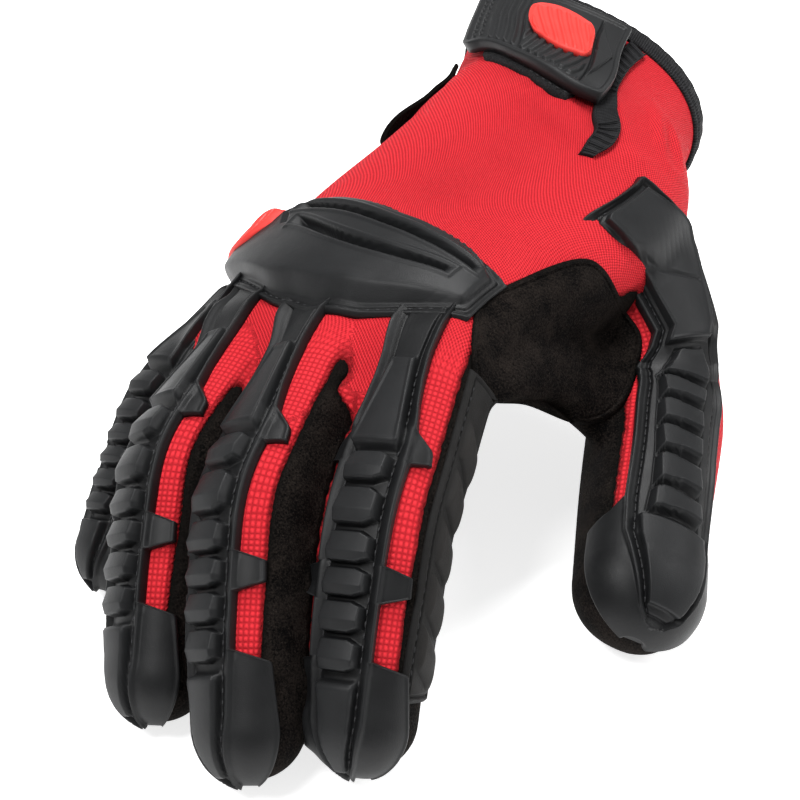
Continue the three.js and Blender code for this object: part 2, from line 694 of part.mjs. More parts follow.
// The patch on the index finger's side, or what it takes up with a gap around it
function sidePatchSolid(grow) {
  const edge = grow / index.radius;
  const margin = SEAT_GAP + PATCH_THICKNESS + SECTOR_MARGIN + grow;
  const places = steps(SIDE_PATCH.first * index.length - grow, SIDE_PATCH.last * index.length + grow, 5);
  const [from, to] = [SIDE_PATCH.from * DEG - edge, SIDE_PATCH.to * DEG + edge];
  const wedge = index.wedge(places.map((at) => ({ at, from, to, margin })));
  if (grow) return wedge;
  const ribs = steps(0, SIDE_RIBS.count - 1, SIDE_RIBS.count - 1).map((k) => {
    const row = (share) => ({
      at: mix(SIDE_PATCH.from, SIDE_PATCH.to, mix(SIDE_RIBS.from, SIDE_RIBS.to, share)) * DEG,
      mid: index.length * (SIDE_RIBS.first + SIDE_RIBS.pitch * k + SIDE_RIBS.slant * share),
      half: index.length * SIDE_RIBS.half,
      high: SEAT_GAP + CHEVRON_HEIGHT,
    });
    const low = SEAT_GAP + PATCH_THICKNESS / 2;
    return raised((v, u, w) => index.point(u, v, w), [0, 0.5, 1].map(row), low, [1, 1], 0.5);
  });
  return patchSkin.intersect(wedge).add(joined(ribs)).subtract(seat);
}

// The patch over the thumb's web: its outline is cut straight through
function webPatchSolid() {
  const out = vec(...WEB_OUT);
  const outline = WEB_PATCH.map((p) => vec(...p).multiplyScalar(halfPalm));
  const ring = (share) => outline.map((p) => p.clone().addScaledVector(out, share * halfPalm));
  const [past, into] = WEB_PATCH_REACH;
  return patchSkin.intersect(loft([ring(-into), ring(past)]));
}
const indexClearance = guardClearance(index, fingerForm);
const thumbClearance = guardClearance(thumb, thumbForm);
const sidePatch = clearOf(sidePatchSolid(0), [knuckleClearance, indexClearance]);
const webPatch = clearOf(webPatchSolid(), [
  knuckleClearance,
  indexClearance,
  thumbClearance,
  sidePatchSolid(SEAT_GAP),
]);

// Cuff

const loopTop = SEAT_GAP + LOOP_THICKNESS;
const strapTop = loopTop + 2 * SEAT_GAP + STRAP_THICKNESS;
const loopPatch = largest(across(LOOP, { low: -SEAT_GAP, high: loopTop, columns: 3, crown: 1 }).subtract(seat));
const loopClearance = across(LOOP, { grow: 2 * SEAT_GAP, low: 0, high: loopTop, columns: 3, crown: 1 });
const strapForm = { low: loopTop + 2 * SEAT_GAP, high: strapTop, columns: 3, crown: STRAP_RIM };
const strap = clearOf(across(STRAP, strapForm), [loopClearance]);
const badge = (table, under) =>
  across(table, { low: under + SEAT_GAP, high: under + SEAT_GAP + BADGE_THICKNESS, columns: 2, crown: 0.9 });

// A band that is folded over the cuff's edge, inside and out
function bindingSolid() {
  const fold = SEAT_GAP + BINDING_THICKNESS;
  const sleeve = (by) => palmSolid(by, by, OUTSIDE).subtract(palmSolid(-WALL - by, 10, INSIDE));
  const wide = 4 * halfPalm;
  const box = new THREE.BoxGeometry(wide, wide, wide).translate(0, HAND_LENGTH - BINDING_WIDTH + wide / 2, 0);
  return largest(sleeve(fold).subtract(sleeve(SEAT_GAP)).intersect(solidOf(box)));
}

// A strip along a path over the cuff
function ribbon(path, width, low, high) {
  const curve = new THREE.CatmullRomCurve3(path.map(([degrees, share]) => onPalm(degrees, HAND_LENGTH * share, 0)));
  const routes = new THREE.CatmullRomCurve3(path.map(([degrees, share]) => vec(degrees, HAND_LENGTH * share, 0)));
  const rings = steps(0, 1, 10).map((t) => {
    const place = routes.getPoint(t);
    const centre = onPalm(place.x, place.y, 0);
    const normal = onPalm(place.x, place.y, 1).sub(centre).normalize();
    const across = curve.getTangent(t).cross(normal).normalize();
    const corner = (side, height) =>
      centre.clone().addScaledVector(across, (side * width) / 2).addScaledVector(normal, height);
    return [corner(-1, low), corner(0, low), corner(1, low), corner(1, high), corner(0, high), corner(-1, high)];
  });
  return loft(rings);
}
const strapClearance = across(STRAP, { ...strapForm, grow: 4 * SEAT_GAP, low: 0, crown: 1 });
const tape = clearOf(ribbon(TAPE_PATH, TAPE_WIDTH, -1, SEAT_GAP + TAPE_THICKNESS), [
  seat,
  thumbClearance,
  strapClearance,
  loopClearance,
]);

function tabSolid() {
  const rings = steps(0, 1, 4).map((t) => {
    const y = HAND_LENGTH * TAB_ROOT - TAB_LENGTH * t;
    const lift = SEAT_GAP + TAB_LIFT * t ** 2;
    const half = TAB_WIDTH / 2 / halfPalm / DEG;
    const row = (height) => steps(-half, half, 2).map((by) => onPalm(TAB_ANGLE + by, y, height));
    return [...row(lift), ...row(lift + TAB_THICKNESS).reverse()];
  });
  return largest(loft(rings).subtract(seat));
}

// The scene

const root = new THREE.Group();
const hand = new THREE.Group();
root.add(hand);
hand.rotation.set(0, ROLL * DEG, YAW * DEG, "ZXY");
hand.position.copy(palmCentre(0).applyEuler(hand.rotation).negate());

const material = (color, roughness) => new THREE.MeshStandardMaterial({ color, roughness, metalness: 0 });
const RED_KNIT = material(0xd8202b, 0.85);
const BLACK_SUEDE = material(0x1c1918, 0.95);
const BLACK_RUBBER = material(0x2b2c2e, 0.55);
const BLACK_TAPE = material(0x151516, 0.9);
const RED_RUBBER = material(0xe8382f, 0.6);

function place(name, solid, made) {
  const mesh = new THREE.Mesh(geometryOf(solid), made);
  mesh.name = name;
  hand.add(mesh);
}

place("knit_back", knit, RED_KNIT);
place("suede_palm", suede, BLACK_SUEDE);
fingers.forEach((digit, k) => place(`${digit.name}_guard`, fingerGuards[k], BLACK_RUBBER));
place("thumb_guard", thumbGuard, BLACK_RUBBER);
place("knuckle_guard", knuckleGuard, BLACK_RUBBER);
place("web_patch", webPatch, BLACK_SUEDE);
place("index_side_patch", sidePatch, BLACK_SUEDE);
place("loop_patch", loopPatch, BLACK_TAPE);
place("closure_strap", strap, BLACK_RUBBER);
place("cuff_binding", bindingSolid(), BLACK_TAPE);
place("vent_tape", tape, BLACK_TAPE);
place("pull_tab", tabSolid(), BLACK_SUEDE);
place("strap_badge", badge(STRAP_BADGE, strapTop), RED_RUBBER);
place("knuckle_badge", badge(KNUCKLE_BADGE, KNUCKLE_GUARD_HEIGHT), RED_RUBBER);

export default root;
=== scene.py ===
"""Impact glove for the right hand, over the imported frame.

Shapes are worked out in the hand's own frame in millimetres: +X towards the thumb, -Y towards the
fingertips, +Z out of the back of the hand, with the middle knuckle at zero. stand() turns them as
the hand stands on its fingertips, in metres, with the cuff's mouth at zero.
"""

import math

import bmesh
import bpy
import numpy as np
from mathutils import Matrix, Vector
from mathutils.bvhtree import BVHTree


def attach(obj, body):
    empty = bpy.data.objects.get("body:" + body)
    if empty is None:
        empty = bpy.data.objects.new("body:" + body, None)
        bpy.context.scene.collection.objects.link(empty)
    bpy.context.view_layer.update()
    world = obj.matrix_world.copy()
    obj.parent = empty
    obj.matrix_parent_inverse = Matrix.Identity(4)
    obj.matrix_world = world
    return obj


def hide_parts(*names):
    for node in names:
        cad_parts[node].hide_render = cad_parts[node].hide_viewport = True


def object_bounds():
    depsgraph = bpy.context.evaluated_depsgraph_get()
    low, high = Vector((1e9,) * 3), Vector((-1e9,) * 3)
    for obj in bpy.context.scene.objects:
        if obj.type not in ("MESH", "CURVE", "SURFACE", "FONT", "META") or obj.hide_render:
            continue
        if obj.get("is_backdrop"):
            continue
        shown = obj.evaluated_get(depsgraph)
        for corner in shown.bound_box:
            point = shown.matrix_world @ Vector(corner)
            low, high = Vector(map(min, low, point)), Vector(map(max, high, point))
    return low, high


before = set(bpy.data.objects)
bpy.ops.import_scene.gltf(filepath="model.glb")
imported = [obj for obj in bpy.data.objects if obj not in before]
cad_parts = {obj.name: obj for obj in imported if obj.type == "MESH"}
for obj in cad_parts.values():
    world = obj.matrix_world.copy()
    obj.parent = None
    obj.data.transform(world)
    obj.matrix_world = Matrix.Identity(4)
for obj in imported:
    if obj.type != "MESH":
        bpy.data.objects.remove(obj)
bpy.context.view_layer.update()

DEG = math.pi / 180
MM = 0.001
WELD = 0.002  # millimetres between points that become one


def turned(degrees, axis):
    return np.array(Matrix.Rotation(degrees * DEG, 3, axis))


STANCE = turned(-30, "Z") @ turned(-16, "Y")

# The hand

HAND_LENGTH, WEB_REACH = 140.0, 20.0
HALF_PALM, HALF_THICK, WEB_HALF = 46.0, 17.0, 7.5
WALL = 1.6
SQUARENESS = 2.35

# share of the way, half width, half thickness, centre to the thumb and to the back, turn
PALM_ROWS = [
    (0.0, 0.79, 1.52, -0.17, -0.05, 30), (0.12, 0.76, 1.44, -0.05, -0.05, 29),
    (0.26, 0.81, 1.36, 0.14, -0.07, 26), (0.42, 0.92, 1.28, 0.15, -0.12, 18),
    (0.6, 0.98, 1.22, 0.03, -0.13, 8), (0.75, 0.93, 1.12, -0.05, -0.12, 2),
    (0.86, 0.89, 0.98, -0.06, -0.12, 0), (0.94, 0.85, 0.8, -0.08, -0.14, 0),
    (1.0, 0.76, 0.55, -0.08, -0.19, 0),
]
# share of the digit's length, half width, height over its centre line and depth under it
FINGER_ROWS = [
    (-0.14, 0.8, 0.72, 0.74), (0.0, 0.96, 0.84, 0.9), (0.22, 1.0, 0.9, 0.98),
    (0.46, 1.0, 0.94, 0.94), (0.7, 0.95, 0.88, 0.92), (0.87, 0.87, 0.8, 0.86),
]
THUMB_ROWS = [
    (-0.21, 0.5, 0.5, 0.5), (-0.13, 0.9, 0.96, 0.85), (0.12, 1.0, 1.0, 1.0),
    (0.38, 1.04, 0.98, 1.04), (0.66, 0.98, 0.92, 0.98), (0.88, 0.88, 0.78, 0.86),
]
KNIT_BLOCKS = 6.3  # from a finger's first slot to the end of its knit, in pitches of its blocks
SLIM_FROM, SLIM_TO = 34.0, 118.0  # where the thumb's right side is slimmer
WEB_ROOT = np.array([0.45, 1.25, -0.35]) * HALF_PALM
WEB_EDGE = np.array([
    [0.5, -0.12, -0.15], [0.84, -0.12, -0.24], [0.9, 0.1, -0.38], [0.92, 0.34, -0.56],
    [0.98, 0.48, -0.8], [1.12, 0.55, -1.02], [1.12, 0.95, -1.1],
]) * HALF_PALM


def between(rows, at, column):
    """A smooth value between the rows of a table."""
    rows = np.array(rows, float)
    x, y = rows[:, 0], rows[:, column]
    slope = np.gradient(y, x)
    at = np.clip(at, x[0], x[-1])
    k = np.clip(np.searchsorted(x, at, side="right") - 1, 0, len(x) - 2)
    wide = x[k + 1] - x[k]
    t = (at - x[k]) / wide
    ends = y[k] * (2 * t**3 - 3 * t**2 + 1) + y[k + 1] * (3 * t**2 - 2 * t**3)
    return ends + wide * (slope[k] * (t**3 - 2 * t**2 + t) + slope[k + 1] * (t**3 - t**2))


def straight(pairs, at):
    """A value between the pairs of a table, in straight lines."""
    return np.interp(at, [p[0] for p in pairs], [p[1] for p in pairs])


def ease(t):
    t = np.clip(t, 0, 1)
    return t * t * (3 - 2 * t)


def unit(v):
    return v / np.linalg.norm(v, axis=-1, keepdims=True)


def reach(angle, side, top, under):
    c, s = np.cos(angle), np.sin(angle)
    high = np.where(c >= 0, top, under)
    return (np.abs(c / high) ** SQUARENESS + np.abs(s / side) ** SQUARENESS) ** (-1 / SQUARENESS)


def stand(points):
    return (np.asarray(points, float) - MOUTH) @ STANCE.T * MM


class Digit:
    """A finger or the thumb: a centre line that bends at its joints, and a section at each place."""

    def __init__(self, name, knuckle, bones, width, knit_end, bend_reach, rear, rows, headings, turn=0.0, slim=0.0):
        self.name, self.knit_end, self.rear, self.rows, self.slim = name, knit_end, rear, rows, slim
        self.knuckle = np.array(knuckle, float)
        self.radius = width / 2
        self.length = float(sum(bones))
        free = len(headings) == len(bones)
        joints = np.cumsum(bones[:-1] if free else [0, *bones[:-1]])
        u = np.arange(-rear, self.length + 5)[:, None]
        along, back = (np.repeat(np.array(headings[0][k], float)[None], len(u), 0) for k in (0, 1))
        for joint, near, heading in zip(joints, bend_reach, headings[1:]):
            t = ease((u - joint) / (2 * near) + 0.5)
            along = along + (np.array(heading[0]) - along) * t
            back = back + (np.array(heading[1]) - back) * t
        along = unit(along)
        back = unit(back - along * np.sum(along * back, 1, keepdims=True))
        back = back * math.cos(turn * DEG) + np.cross(along, back) * math.sin(turn * DEG)
        centre = np.vstack([np.zeros(3), np.cumsum(along, 0)[:-1]])
        self.centre = centre - centre[rear] + self.knuckle
        self.along, self.back = along, back
        self.tip_radius = self.radius * float(between(rows, 0.9, 1))
        self.tip_start = self.length - self.tip_radius
        self.end = self.tip_start + self.tip_radius * math.pi / 2

    def frame(self, u):
        k = np.clip(np.floor(u).astype(int) + self.rear, 0, len(self.centre) - 2)
        t = (u + self.rear - k)[..., None]
        lines = (self.centre, self.along, self.back)
        centre, along, back = (line[k] + (line[k + 1] - line[k]) * t for line in lines)
        along, back = unit(along), unit(back)
        return centre, along, back, np.cross(back, along)

    def girth(self, u, angle):
        share = np.minimum(u, self.tip_start) / self.length
        side, top, under = (self.radius * between(self.rows, share, c) for c in (1, 2, 3))
        slim = self.slim * ease((u - SLIM_FROM) / 14) * ease((SLIM_TO - u) / 24) * ease(1.2 - np.abs(angle - 1.1))
        return reach(angle, side, top, under) * (1 - slim)

    def point(self, u, angle, height):
        u, angle, height = np.broadcast_arrays(u, angle, height)
        plain = np.minimum(u, self.tip_start)
        over = (np.maximum(0, u - self.tip_start) / self.tip_radius)[..., None]
        centre, along, back, side = self.frame(plain)
        ray = back * np.cos(angle)[..., None] + side * np.sin(angle)[..., None]
        out = (self.girth(plain, angle) + height)[..., None]
        ahead = (self.tip_radius + height)[..., None]
        return centre + ray * out * np.cos(over) + along * ahead * np.sin(over)

    def locate(self, points):
        """Place, angle from the back and distance from the surface of points near the digit."""
        k = np.argmin(((points[:, None] - self.centre[None]) ** 2).sum(2), 1)
        u = k - self.rear + np.sum((points - self.centre[k]) * self.along[k], 1)
        u = np.clip(u, -self.rear, self.length + 3)
        centre, along, back, side = self.frame(u)
        away = points - centre
        x, z = np.sum(away * side, 1), np.sum(away * back, 1)
        angle = np.arctan2(x, z)
        return u, angle, np.linalg.norm(away, axis=1) - self.girth(u, angle), np.hypot(x, z)


def finger(name, knuckle, spread, roll, turn, bends, bones, width, neck, slot, pitch):
    spread, roll = spread * DEG, roll * DEG
    forward = np.array([math.sin(spread), -math.cos(spread), 0])
    up = np.array([0.0, 0, 1]) * math.cos(roll) + np.cross(forward, [0, 0, 1]) * math.sin(roll)
    headings, angle = [], 0.0
    for bend in [0, *bends]:
        angle += bend * DEG
        headings.append((forward * math.cos(angle) - up * math.sin(angle),
                         forward * math.sin(angle) + up * math.cos(angle)))
    knit_end = slot + KNIT_BLOCKS * pitch
    made = Digit(name, knuckle, bones, width, knit_end, [14, 9, 8], 18, FINGER_ROWS, headings, turn)
    made.neck, made.slot, made.pitch = neck, slot, pitch
    return made


def thumb_headings():
    ways = [[0.43, -0.55, -0.71], [0.28, -0.94, -0.19], [0.25, -0.93, -0.27]]
    backs = [[0.56, -0.34, 0.74], [0.78, 0.22, 0.74], [0.78, 0.14, 0.74]]
    out = []
    for way, back in zip(np.array(ways), np.array(backs)):
        way = unit(way)
        out.append((way, unit(back - way * way.dot(back))))
    return out


index = finger("index", [25, 2, -3], 6, -2, 3, [27, 19, 7], [46, 27, 27], 26, 11, 36, 7.1)
middle = finger("middle", [0, 0, -0.5], -1, 14, 6, [19, 27, 5], [51, 31, 28], 26, 13, 41, 7.5)
ring = finger("ring", [-22.5, 4, -2.5], -3.5, 16, 7, [13, 30, 4], [47, 30, 28], 24, 13, 40, 7.2)
little = finger("little", [-39.5, 19.5, -7], -8.5, 7, 0, [11, 24, 0], [37, 22, 26], 21, 12, 35, 5.8)
thumb = Digit("thumb", [27, 80, -14], [49, 38, 36], 34, 102, [12, 9], 26, THUMB_ROWS, thumb_headings(), slim=0.15)
digits = [index, middle, ring, little, thumb]


def palm_share(y):
    return (HAND_LENGTH - y) / (HAND_LENGTH + WEB_REACH)


def palm_centre(y):
    x, z = (HALF_PALM * between(PALM_ROWS, palm_share(y), c) for c in (3, 4))
    return np.stack([x, y + 0 * x, z], -1)


def palm_girth(y, angle):
    side = HALF_PALM * between(PALM_ROWS, palm_share(y), 1)
    thick = HALF_THICK * between(PALM_ROWS, palm_share(y), 2)
    return reach(angle, side, thick, thick)


def palm_point(y, degrees, height):
    """The palm's surface by millimetres behind the middle knuckle and degrees from the back."""
    y, degrees, height = np.broadcast_arrays(y, degrees, height)
    turn = (degrees + between(PALM_ROWS, palm_share(y), 5)) * DEG
    out = palm_girth(y, degrees * DEG) + height
    return palm_centre(y) + np.stack([out * np.sin(turn), 0 * out, out * np.cos(turn)], -1)


def palm_locate(points):
    """Angle from the back and distance from the palm's surface, in degrees and millimetres."""
    y = points[:, 1]
    away = points - palm_centre(y)
    turn = between(PALM_ROWS, palm_share(y), 5) * DEG
    angle = np.arctan2(away[:, 0], away[:, 2]) - turn
    angle = (angle + math.pi) % (2 * math.pi) - math.pi
    out = np.hypot(away[:, 0], away[:, 2])
    return angle / DEG, out - palm_girth(y, angle), out


MOUTH = palm_centre(np.float64(HAND_LENGTH))

# Making meshes


def point_attribute(mesh, name, values):
    kind = "FLOAT_VECTOR" if values.ndim == 2 else "FLOAT"
    made = mesh.attributes.new(name, kind, "POINT")
    made.data.foreach_set("vector" if values.ndim == 2 else "value", values.astype(np.float32).ravel())


def read(items, key, width, kind=float):
    flat = np.empty(width * len(items), kind)
    items.foreach_get(key, flat)
    return flat.reshape(-1, width)


def mesh_of(name, bm):
    mesh = bpy.data.meshes.new(name)
    bm.to_mesh(mesh)
    bm.free()
    return mesh


def grid(name, across, along, place):
    """A bmesh grid whose points place(a, b) puts in millimetres; a and b run from 0 to 1."""
    bm = bmesh.new()
    bmesh.ops.create_grid(bm, x_segments=across, y_segments=along, size=1)
    mesh = mesh_of(name, bm)
    a, b = read(mesh.vertices, "co", 3)[:, :2].T
    a, b = (a - a.min()) / (a.max() - a.min()), (b - b.min()) / (b.max() - b.min())
    placed = place(a, b)
    points, marks = placed if isinstance(placed, tuple) else (placed, {})
    mesh.vertices.foreach_set("co", (np.asarray(points) * MM).ravel())
    for key, values in marks.items():
        point_attribute(mesh, key, values)
    bm = bmesh.new()
    bm.from_mesh(mesh)
    bmesh.ops.remove_doubles(bm, verts=bm.verts, dist=WELD * MM)
    bmesh.ops.holes_fill(bm, edges=[e for e in bm.edges if e.is_boundary])
    bmesh.ops.recalc_face_normals(bm, faces=bm.faces)
    bm.to_mesh(mesh)
    bm.free()
    return mesh


def points_of(mesh):
    return read(mesh.vertices, "co", 3) / MM


def put_points(mesh, points):
    mesh.vertices.foreach_set("co", (points * MM).ravel())
    mesh.update()


def piece(name, mesh, finish, replaces=()):
    """The mesh, in the hand's frame, becomes a finished piece of the glove as it stands."""
    mesh.vertices.foreach_set("co", stand(points_of(mesh)).ravel())
    mesh.polygons.foreach_set("use_smooth", [True] * len(mesh.polygons))
    mesh.materials.clear()
    mesh.materials.append(finish)
    mesh.update()
    made = bpy.data.objects.new(name, mesh)
    bpy.context.scene.collection.objects.link(made)
    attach(made, "root")
    if replaces:
        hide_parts(*replaces)
    return made


def joined(name, meshes):
    bm = bmesh.new()
    for mesh in meshes:
        bm.from_mesh(mesh)
    return mesh_of(name, bm)


def applied(name, mesh, *modifiers):
    """A copy of the mesh with these modifiers applied: each is a type and its settings."""
    carrier = bpy.data.objects.new(name, mesh)
    bpy.context.scene.collection.objects.link(carrier)
    for kind, settings in modifiers:
        modifier = carrier.modifiers.new(kind, kind)
        for key, value in settings.items():
            setattr(modifier, key, value)
    bpy.context.view_layer.update()
    made = carrier.evaluated_get(bpy.context.evaluated_depsgraph_get())
    made = bpy.data.meshes.new_from_object(made)
    bpy.data.objects.remove(carrier)
    made.name = name
    return made

# The fabric hand: closed forms fused into one skin

FABRIC_STEP = 1.2  # millimetres between the skin's points
PALM_REAR = 149.0  # the palm's form runs past the cuff's mouth, where it is cut
PALM_SIDES = 0.93  # share of the form that is sides; the rest rounds its front


def palm_form(a, b):
    degrees = 360 * a - 180
    front = np.clip((b - PALM_SIDES) / (1 - PALM_SIDES), 0, 1) * math.pi / 2
    y = PALM_REAR - (PALM_REAR + WEB_REACH) * np.minimum(b / PALM_SIDES, 1)
    points = palm_point(y, degrees, 0.0)
    middle = palm_centre(y)
    points = middle + (points - middle) * np.cos(front)[:, None]
    points[:, 1] -= 5 * np.sin(front)
    return points


def digit_form(digit):
    def place(a, b):
        u = -digit.rear + (digit.end + digit.rear) * b
        return digit.point(u, 2 * math.pi * a, 0.0)

    return place


def spline(stations, t):
    """A smooth path through stations, t from 0 to 1."""
    rows = np.column_stack([np.linspace(0, 1, len(stations)), stations])
    return np.stack([between(rows, t, k + 1) for k in range(rows.shape[1] - 1)], -1)


def web_form(a, b):
    tip = spline(WEB_EDGE, b)
    tangent = unit(spline(WEB_EDGE, np.minimum(1, b + 0.01)) - spline(WEB_EDGE, np.maximum(0, b - 0.01)))
    along = tip - WEB_ROOT
    wide = np.linalg.norm(along, axis=1)[:, None] / 2
    through = unit(np.cross(tangent, along))
    angle = (2 * math.pi * a)[:, None]
    return (WEB_ROOT + tip) / 2 + unit(along) * wide * np.cos(angle) + through * WEB_HALF * np.sin(angle)


def fold(points, start, end, wide, high):
    """How far one crease between two points lifts the cloth: a furrow with a swell on each side."""
    start, end = np.array(start, float), np.array(end, float)
    way = end - start
    t = np.clip((points - start) @ way / way.dot(way), 0, 1)
    away = np.linalg.norm(points - start - t[:, None] * way, axis=1) / wide
    fade = np.sin(np.pi * np.clip(t, 0.04, 0.96)) ** 0.7
    return high * fade * (1.5 * np.exp(-((away - 1.5) ** 2) * 2) - np.exp(-(away**2) * 1.2))


def fused_skin():
    forms = [
        grid("palm", 84, 110, palm_form),
        grid("web", 40, 40, web_form),
        *[grid(digit.name, 56, 90, digit_form(digit)) for digit in digits],
    ]
    remesh = {"mode": "VOXEL", "voxel_size": FABRIC_STEP * MM}
    smooth = {"factor": 0.5, "iterations": 7}
    skin = applied("skin", joined("forms", forms), ("REMESH", remesh), ("SMOOTH", smooth))
    bm = bmesh.new()
    bm.from_mesh(skin)
    bmesh.ops.bisect_plane(bm, geom=[*bm.verts, *bm.edges, *bm.faces], plane_co=(0, HAND_LENGTH * MM, 0),
                           plane_no=(0, 1, 0), clear_outer=True)
    bmesh.ops.triangulate(bm, faces=bm.faces)
    bm.to_mesh(skin)
    bm.free()
    return skin


def evened(edges, values, rounds):
    """Values at the points of a mesh, averaged with their neighbours'."""
    count = np.bincount(edges.ravel(), minlength=len(values))
    for _ in range(rounds):
        total = np.bincount(edges[:, 0], values[edges[:, 1]], len(values))
        total += np.bincount(edges[:, 1], values[edges[:, 0]], len(values))
        values = 0.4 * values + 0.6 * total / np.maximum(count, 1)
    return values


KNIT_HALF, KNIT_HALF_PALM = 62.0, 92.0  # degrees from the back to the knit's edge
KNIT_FRONT = -24.0  # no palm in front of this
PALM_RADIUS = 38.0  # turns degrees into millimetres for the weave


def fabric_fields(points):
    """For each point: millimetres inside the knit's edge, and the weave's own coordinates."""
    degrees, off, out = palm_locate(points)
    knit = np.minimum((KNIT_HALF_PALM - np.abs(degrees)) * DEG * out, 2.0 * (0.9 - off))
    knit = np.where(points[:, 1] > KNIT_FRONT, knit, -20)
    nearest = np.abs(off)
    around = ease((points[:, 1] - 20) / 30)
    x, y = points[:, 0], points[:, 1]
    weave = np.stack([x + (degrees * DEG * PALM_RADIUS - x) * around, y, 0 * off], 1)
    for digit in digits:
        u, angle, away, wide = digit.locate(points)
        edge = (KNIT_HALF * DEG - np.abs(angle)) * wide
        here = np.minimum.reduce([edge, digit.knit_end - u, 2.0 * (1.4 - away), u + digit.rear])
        knit = np.maximum(knit, here)
        mine = (np.abs(away) < nearest) & (u > 2)
        nearest = np.where(mine, np.abs(away), nearest)
        own = ease((u - 4) / 14)
        x, y = digit.knuckle[0] + angle * digit.radius, digit.knuckle[1] - u
        x, y = weave[:, 0] + (x - weave[:, 0]) * own, weave[:, 1] + (y - weave[:, 1]) * own
        weave[mine] = np.stack([x, y, own], 1)[mine]
    return knit, weave


skin = fused_skin()
skin_points = points_of(skin)
skin_edges = read(skin.edges, "vertices", 2, int)
CREASES = [
    ([40, 84, 10], [20, 112, 24], 2.8, 1.3), ([34, 76, 14], [8, 92, 24], 3.2, 1.2),
    ([42, 96, -2], [30, 122, 14], 2.6, 1.3), ([30, 62, 16], [4, 70, 22], 3.4, 0.6),
    ([-26, 112, 14], [4, 122, 24], 3.0, 0.5), ([-34, 84, 10], [-12, 98, 20], 3.4, 0.5),
    ([0, 84, 24], [22, 104, 24], 2.6, 0.5),
]
knit_inside, weave_at = fabric_fields(skin_points)
knit_inside = evened(skin_edges, knit_inside, 14)
lift = sum(fold(skin_points, *crease) for crease in CREASES)
skin_points = skin_points + read(skin.vertices, "normal", 3) * lift[:, None]
put_points(skin, skin_points)


def snap_to_seam(points, inside, edges):
    """Moves the points next to the knit's edge onto it, so that the seam runs along mesh edges."""
    a, b = edges[:, 0], edges[:, 1]
    crossing = inside[a] * inside[b] < 0
    a, b = a[crossing], b[crossing]
    t = inside[a] / (inside[a] - inside[b])
    meet = points[a] + (points[b] - points[a]) * t[:, None]
    mover = np.where(t < 0.5, a, b)
    far = np.minimum(t, 1 - t)
    order = np.argsort(-far)
    points, inside = points.copy(), inside.copy()
    points[mover[order]] = meet[order]
    inside[mover] = 0
    return points, inside


skin_points, knit_inside = snap_to_seam(skin_points, knit_inside, skin_edges)
put_points(skin, skin_points)
skin_faces = [tuple(p.vertices) for p in skin.polygons]
SKIN = BVHTree.FromPolygons(skin_points.tolist(), skin_faces)


def skin_lift(origins, aims, high):
    """How far the skin stands above the points that the rays aim at, from a height above them."""
    ways = aims - origins
    wide = np.linalg.norm(ways, axis=-1)
    out = np.zeros(wide.shape)
    for at in np.ndindex(wide.shape):
        hit = SKIN.ray_cast(Vector(origins[at]), Vector(ways[at] / wide[at]), 2.2 * high[at])[3]
        out[at] = 0 if hit is None else high[at] - hit
    return np.clip(out, -4, 14)


def blurred(table, rounds, ring=False):
    """A table averaged with its neighbours; the rows of a ring close on themselves."""
    for _ in range(rounds):
        wide = np.pad(table, ((0, 0), (1, 1)), mode="edge")
        tall = np.vstack([table[-2:-1], table, table[1:2]]) if ring else np.pad(table, ((1, 1), (0, 0)), mode="edge")
        table = (tall[:-2] + tall[2:] + wide[:, :-2] + wide[:, 2:] + 2 * table) / 6
    return table


def bilinear(table, i, j):
    """A table's value between its cells."""
    i, j = (np.clip(at, 0, count - 1.001) for at, count in zip((i, j), table.shape))
    i0, j0 = i.astype(int), j.astype(int)
    s, t = i - i0, j - j0
    near = table[i0, j0] * (1 - t) + table[i0, j0 + 1] * t
    far = table[i0 + 1, j0] * (1 - t) + table[i0 + 1, j0 + 1] * t
    return near * (1 - s) + far * s


class Seat:
    """The skin's height over a plain surface, read smoothly at any place of it."""

    def __init__(self, point, firsts, seconds, start, rounds=3):
        self.point = point
        self.rows, self.columns = np.array(firsts, float), np.array(seconds, float)
        p, q = np.meshgrid(self.rows, self.columns, indexing="ij")
        high = start(p, q)
        self.table = blurred(skin_lift(point(p, q, high), point(p, q, 0.0), high), rounds)

    def lift(self, p, q):
        i, j = ((at - steps[0]) / (steps[1] - steps[0]) for at, steps in ((p, self.rows), (q, self.columns)))
        return bilinear(self.table, i, j)

    def over(self, p, q, height):
        """The point at a height above the fabric."""
        p, q, height = np.broadcast_arrays(p, q, height)
        return self.point(p, q, self.lift(p, q) + height)


def digit_seat(digit):
    places = np.arange(-digit.rear + 1, digit.end - 1, 1.0)
    angles = np.arange(-130, 131, 5.0) * DEG
    deep = 26.0 if digit is thumb else 16.0

    def start(u, angle):
        return 3.5 + (deep - 3.5) * ease((22 - u) / 12) * ease((1.25 - np.abs(angle)) / 0.4)

    return Seat(digit.point, places, angles, start)


def palm_room(y, _):
    return 9.0 + 0 * y


seats = {digit.name: digit_seat(digit) for digit in digits}
palm_seat = Seat(palm_point, np.arange(-16, 141, 2.0), np.arange(-112, 96, 4.0), palm_room, 2)
cuff_seat = Seat(palm_point, np.arange(121, 140, 2.0), np.arange(-186, 187, 6.0), palm_room, 2)


# Relief, in millimetres above the fabric


def hat(x):
    """A rounded rib: 1 in the middle, 0 at 1 and past it."""
    return np.clip(1 - x * x, 0, 1) ** 2


def lower(a, b, soft=0.25):
    return 0.5 * (a + b - np.sqrt((a - b) ** 2 + soft * soft))


def higher(a, b, soft=0.25):
    return 0.5 * (a + b + np.sqrt((a - b) ** 2 + soft * soft))


def rounded_edge(high, edge, wide):
    """A height that rises steeply from an edge, then levels off."""
    return high * np.sqrt(np.clip(edge / wide, 0, 1))


